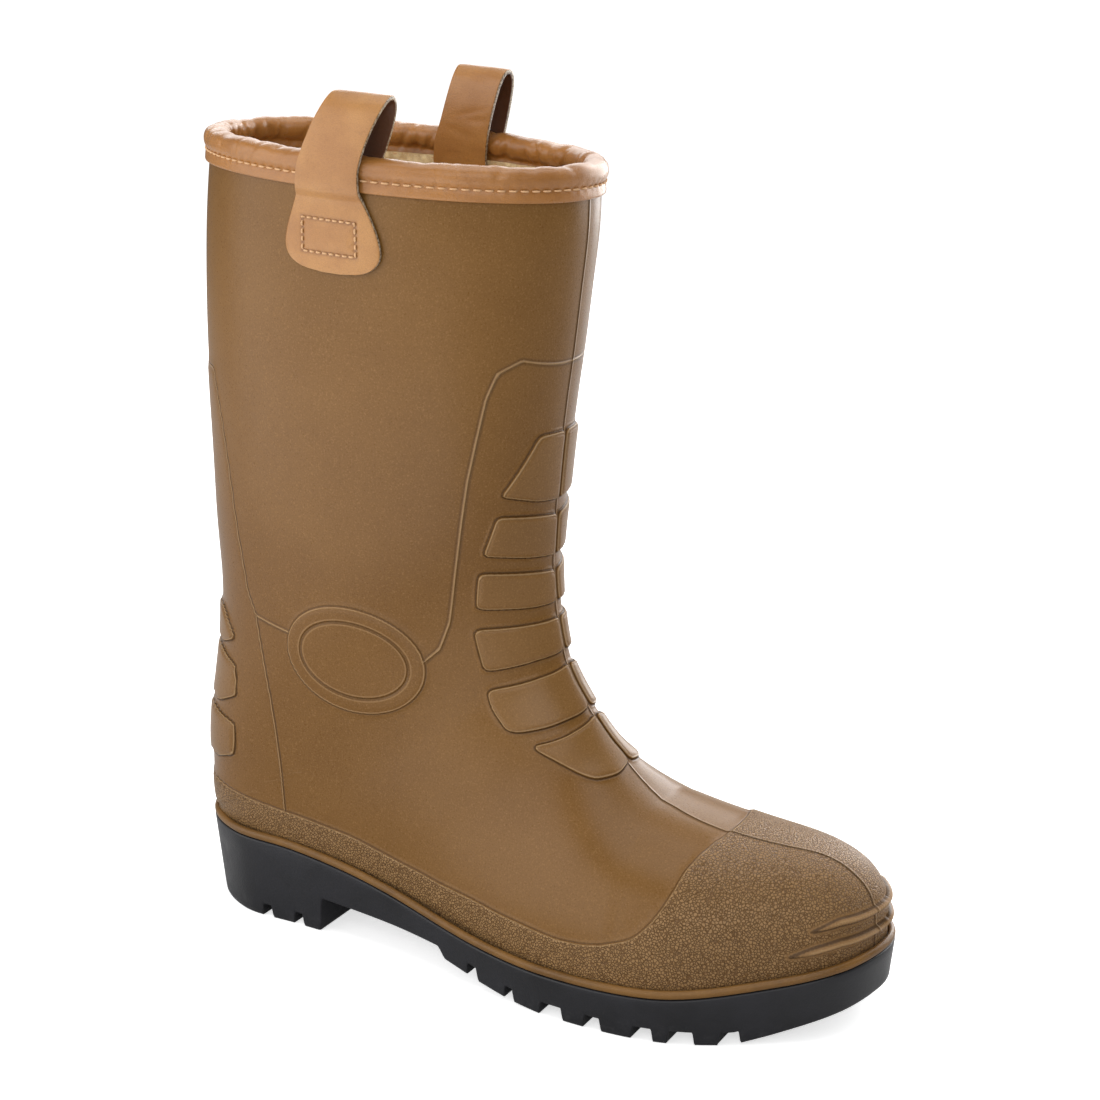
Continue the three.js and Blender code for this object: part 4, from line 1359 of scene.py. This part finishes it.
# Pull loops: two straps of tan leather with raw grey edges, one on each side of the shaft.
# Each is sewn flat on the outside by a rounded tab, stands over the collar as a finger
# loop, and runs down inside the shaft to just below the binding.
strap_thickness = 0.002
strap_width = 0.025
tab_width = 0.04
tab_drop = 0.0395
loop_gap = 0.011
loop_lean = 0.008
roll_out, roll_in = 0.0024, 0.0053
strip_thickness = 0.0014
outer_drop, inner_drop = 0.0088, 0.012
on_shaft = clearance + strap_thickness / 2
over_roll = roll_out + on_shaft + 0.0004
inside_wall = -wall_thickness - on_shaft - 0.0005
inside_strip = -wall_thickness - clearance - 1.3 * strip_thickness - on_shaft - 0.0003
inside_roll = -wall_thickness - roll_in - on_shaft - 0.0007


def strap_route(rise):
    return columns("up out half lean", [
        [-tab_drop, on_shaft, 0.18 * tab_width, 0.25 * loop_lean],
        [-0.97 * tab_drop, on_shaft, 0.33 * tab_width, 0.2 * loop_lean],
        [-0.91 * tab_drop, on_shaft, 0.44 * tab_width, 0.15 * loop_lean],
        [-0.81 * tab_drop, on_shaft, 0.5 * tab_width, 0.12 * loop_lean],
        [-0.66 * tab_drop, on_shaft, 0.49 * tab_width, 0.07 * loop_lean],
        [-0.48 * tab_drop, on_shaft, 0.43 * tab_width, 0],
        [-outer_drop - 0.0037, on_shaft + 0.0002, 0.58 * strap_width, -0.1 * loop_lean],
        [-outer_drop, on_shaft + strip_thickness + 0.0006, 0.54 * strap_width, -0.12 * loop_lean],
        [-0.28 * outer_drop, over_roll, 0.52 * strap_width, -0.1 * loop_lean],
        [0.08 * rise, over_roll, 0.51 * strap_width, 0],
        [0.36 * rise, over_roll - 0.06 * loop_gap, strap_width / 2, 0.25 * loop_lean],
        [0.67 * rise, over_roll - 0.23 * loop_gap, strap_width / 2, 0.57 * loop_lean],
        [0.88 * rise, over_roll - 0.45 * loop_gap, strap_width / 2, 0.82 * loop_lean],
        [0.99 * rise, over_roll - 0.73 * loop_gap, strap_width / 2, 0.95 * loop_lean],
        [0.99 * rise, over_roll - 1.03 * loop_gap, strap_width / 2, loop_lean],
        [0.86 * rise, over_roll - 1.28 * loop_gap, strap_width / 2, 0.95 * loop_lean],
        [0.59 * rise, inside_roll - 0.0014, strap_width / 2, 0.75 * loop_lean],
        [0.27 * rise, inside_roll - 0.0012, strap_width / 2, 0.45 * loop_lean],
        [0, inside_roll, 0.52 * strap_width, 0.17 * loop_lean],
        [-0.58 * inner_drop, inside_roll + 0.0018, 0.52 * strap_width, 0],
        [-inner_drop - 0.0005, inside_strip, 0.52 * strap_width, 0],
        [-inner_drop - 0.004, inside_wall - 0.0005, 0.52 * strap_width, 0],
        [-inner_drop - 0.009, inside_wall, 0.52 * strap_width, 0],
    ])


def rim_turn(x, side):
    """Turn of the rim beside x on one side."""
    dense = np.linspace(0.02, 0.48, 600)
    return side_turn(np.interp(-x, -skin(rim_top, dense)[:, 0], dense), side)


def strap_finish():
    finish = leather_finish("tan_strap_leather", tone(188, 134, 72), tone(168, 114, 58), 0.34)
    cut, back, sewn = (finish.stored(name) for name in ("cut_edge", "flesh_side", "sewn_line"))
    face = finish.surface.inputs["Base Color"].links[0].from_socket
    rough = finish.noise(1100.0, 4.0, 0.75)
    colour = finish.paint(face, tone(104, 60, 26), sewn, 0.65)
    colour = finish.paint(colour, tone(84, 50, 32), finish.ramp(back, 0.3, 0.7, 0.0, 0.92))
    fray = finish.blend(finish.ramp(rough, 0.4, 0.6), tone(92, 74, 56), tone(206, 190, 164))
    finish.set_surface(Base_Color=finish.blend(finish.ramp(cut, 0.35, 0.75), colour, fray))
    return finish.material


def make_loop(name, side, middle, rise, node):
    route = strap_route(rise)
    length = lengths_along(np.hypot(np.diff(route["up"]), np.diff(route["out"])))
    run = np.linspace(0, length[-1], 210)
    up, out, half, lean = (along_curve(length, route[n], run) for n in ("up", "out", "half", "lean"))
    half[0] = 0.12 * tab_width
    way = unit(np.stack([np.gradient(out), np.gradient(up)], axis=1))
    face = np.linspace(-0.985, 0.985, 61)
    level = np.ones_like(face)
    flat = np.concatenate([face, [1.0, 1.0], face[::-1], [-1.0, -1.0]])
    thick = np.concatenate([level, [0.55, -0.55], -level, [-0.55, 0.55]]) * strap_thickness / 2
    chance = np.random.RandomState(5 + side)
    wave = np.zeros((len(run), len(flat)))
    for _ in range(16):
        at = chance.uniform(tab_drop, length[-1] - 0.012)
        place, slope = chance.uniform(-1, 1), chance.uniform(-0.004, 0.004)
        gap = run[:, None] - at - slope * flat[None, :]
        wave -= chance.uniform(0.00008, 0.00026) * np.exp(-(gap / 0.0016) ** 2) * np.exp(
            -((flat[None, :] - place) / 0.5) ** 2)
    box_low, box_high, box_half = 0.0070, 0.0195, 0.0113
    down = run[:, None]
    across = flat[None, :] * half[:, None]
    sewn = np.maximum(np.abs(down - (box_low + box_high) / 2) - (box_high - box_low) / 2,
                      np.abs(across + 0.0006) - box_half)
    wave -= 0.00028 * np.exp(-(sewn / 0.0009) ** 2)
    wave += 0.00025 * (sewn < -0.0012) * step_up(0.0012, 0.004, -sewn)
    crown = -0.00022 * np.abs(flat[None, :]) ** 8 * np.ones_like(wave)
    wave = np.where((thick > 0)[None, :], wave + crown, 0)
    side_out = thick[None, :] + wave
    x = middle + lean[:, None] + across
    points = rim_points(rim_turn(x, side), out[:, None] + way[:, 1:2] * side_out,
                        up[:, None] - way[:, 0:1] * side_out)
    values = {"cut_edge": np.tile(np.abs(flat) > 0.99, len(run)),
              "flesh_side": np.tile(thick < 0, len(run)),
              "sewn_line": np.exp(-(sewn / 0.0008) ** 2) * (thick > 0)[None, :]}
    strap = make_piece(name, points, tube_faces(numbered(points)), strap_leather,
                       sharp=60, values=values)
    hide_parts(node)
    corner = np.array([[-box_half, box_low], [box_half, box_low],
                       [box_half, box_high], [-box_half, box_high]])
    steps = np.linspace(0, 1, 24, endpoint=False)[:, None]
    path = np.concatenate([a + (b - a) * steps for a, b in zip(corner, np.roll(corner, -1, axis=0))])
    stitch_up = np.interp(path[:, 1], run, up)
    stitch_x = middle + np.interp(path[:, 1], run, lean) + path[:, 0] - 0.0006
    turn = rim_turn(stitch_x, side)
    face_out = on_shaft + strap_thickness / 2 - 0.00022
    base, beyond = (rim_points(turn, face_out + more, stitch_up) for more in (0, 0.01))
    points, faces = stitches(base, beyond - base, 0.0029, 0.0021, 0.00042)
    make_piece(name + "_stitches", points, faces, cream_thread)


strap_leather = strap_finish()
make_loop("pull_loop_near", -1, 0.0985, 0.0255, "pull_loop_outer")
make_loop("pull_loop_far", 1, 0.095, 0.029, "pull_loop_inner")


# Studio: a plain pale floor under the boot, soft light from large panels round it,
# and a camera at the photograph's angle.
def floor_finish():
    """White sheet with a painted glow for the camera, dimmer near the boot, that throws back only a
    little light.
    """
    finish = Finish("pale_floor")
    tint = finish.blend(finish.noise(2.0, 2.0), tone(244, 244, 244), tone(248, 248, 248))
    seen = finish.node("ShaderNodeLightPath").outputs["Is Camera Ray"]
    away = finish.node("ShaderNodeVectorMath", finish.place)
    away.operation = "LENGTH"
    # Painted glow: seen by the camera the floor glows white, dimmest within 0.4 m of the boot and
    # full white past 2 m; other rays see a faint grey glow.
    far_off = finish.ramp(away.outputs["Value"], 0.4, 2.0)
    white = finish.blend(far_off, tone(205, 205, 205), tone(248, 248, 248))
    glow = finish.blend(seen, tone(40, 40, 40), white)
    sheet = finish.blend(seen, tone(195, 195, 195), tint)
    finish.set_surface(Base_Color=sheet, Roughness=0.9, Specular_IOR_Level=0.1,
                       Emission_Color=glow, Emission_Strength=1.0)
    return finish.material


def make_floor():
    reach = 60.0
    mesh = bpy.data.meshes.new("studio_floor")
    corners = [(-reach, -reach, 0), (reach, -reach, 0), (reach, reach, 0), (-reach, reach, 0)]
    mesh.from_pydata(corners, [], [(0, 1, 2, 3)])
    mesh.materials.append(floor_finish())
    ground = bpy.data.objects.new("studio_floor", mesh)
    bpy.context.scene.collection.objects.link(ground)


def add_light(name, place, aim, size, power):
    lamp = bpy.data.lights.new(name, "AREA")
    lamp.shape = "RECTANGLE"
    lamp.size, lamp.size_y = size
    lamp.energy = power
    holder = bpy.data.objects.new(name, lamp)
    holder.location = place
    holder.rotation_mode = "QUATERNION"
    holder.rotation_quaternion = (Vector(aim) - Vector(place)).to_track_quat("-Z", "Y")
    bpy.context.scene.collection.objects.link(holder)


def make_camera():
    azimuth, pitch = math.radians(29.376), math.radians(17.047)
    focal_pixels, frame_pixels = 2075.9, 1100
    lens = bpy.data.cameras.new("photo_camera")
    lens.sensor_width = 36.0
    lens.lens = focal_pixels / frame_pixels * lens.sensor_width
    lens.clip_start, lens.clip_end = 0.01, 50
    holder = bpy.data.objects.new("photo_camera", lens)
    holder.location = (0.50251, -0.67918, 0.40946)
    look = Vector((-math.sin(azimuth) * math.cos(pitch), math.cos(azimuth) * math.cos(pitch),
                   -math.sin(pitch)))
    holder.rotation_mode = "QUATERNION"
    holder.rotation_quaternion = look.to_track_quat("-Z", "Y")
    bpy.context.scene.collection.objects.link(holder)
    bpy.context.scene.camera = holder


make_floor()
boot_middle = (0.08, 0, 0.16)
for panel_name, place, size, power in (
        ("left_panel", (-1.05, -0.64, 0.5), (0.8, 1.2), 4.7),
        ("left_front_panel", (-0.44, -1.19, 0.6), (1.0, 1.2), 6.3),
        ("front_panel", (0.864, -1.394, 0.9), (1.2, 1.2), 8.6),
        ("right_panel", (0.916, 0.996, 0.6), (0.6, 1.2), 8),
        ("right_back_panel", (0.25, 1.29, 0.6), (0.6, 1.2), 12),
        ("back_panel", (-0.6, 1.22, 0.9), (1.4, 0.8), 8),
        ("top_panel", (0.08, 0.001, 1.7), (1.5, 1.5), 14)):
    add_light(panel_name, place, boot_middle, size, power)
add_light("low_panel", (-0.35, -0.68, 0.004), (-0.35, -0.679, 1.0), (1.3, 0.8), 4.0)
make_camera()


def make_studio_air():
    """Plain white behind the boot, and a dimmer glow on it from all round."""
    world = bpy.data.worlds.new("studio_air")
    world.use_nodes = True
    tree = world.node_tree
    seen = tree.nodes.new("ShaderNodeLightPath").outputs["Is Camera Ray"]
    glow = tree.nodes.new("ShaderNodeMapRange")
    tree.links.new(seen, glow.inputs["Value"])
    glow.inputs["To Min"].default_value = 0.2
    glow.inputs["To Max"].default_value = 1.0
    backdrop = tree.nodes["Background"]
    backdrop.inputs["Color"].default_value = (1, 1, 1, 1)
    tree.links.new(glow.outputs["Result"], backdrop.inputs["Strength"])
    bpy.context.scene.world = world


make_studio_air()
bpy.context.scene.view_settings.view_transform = "Standard"
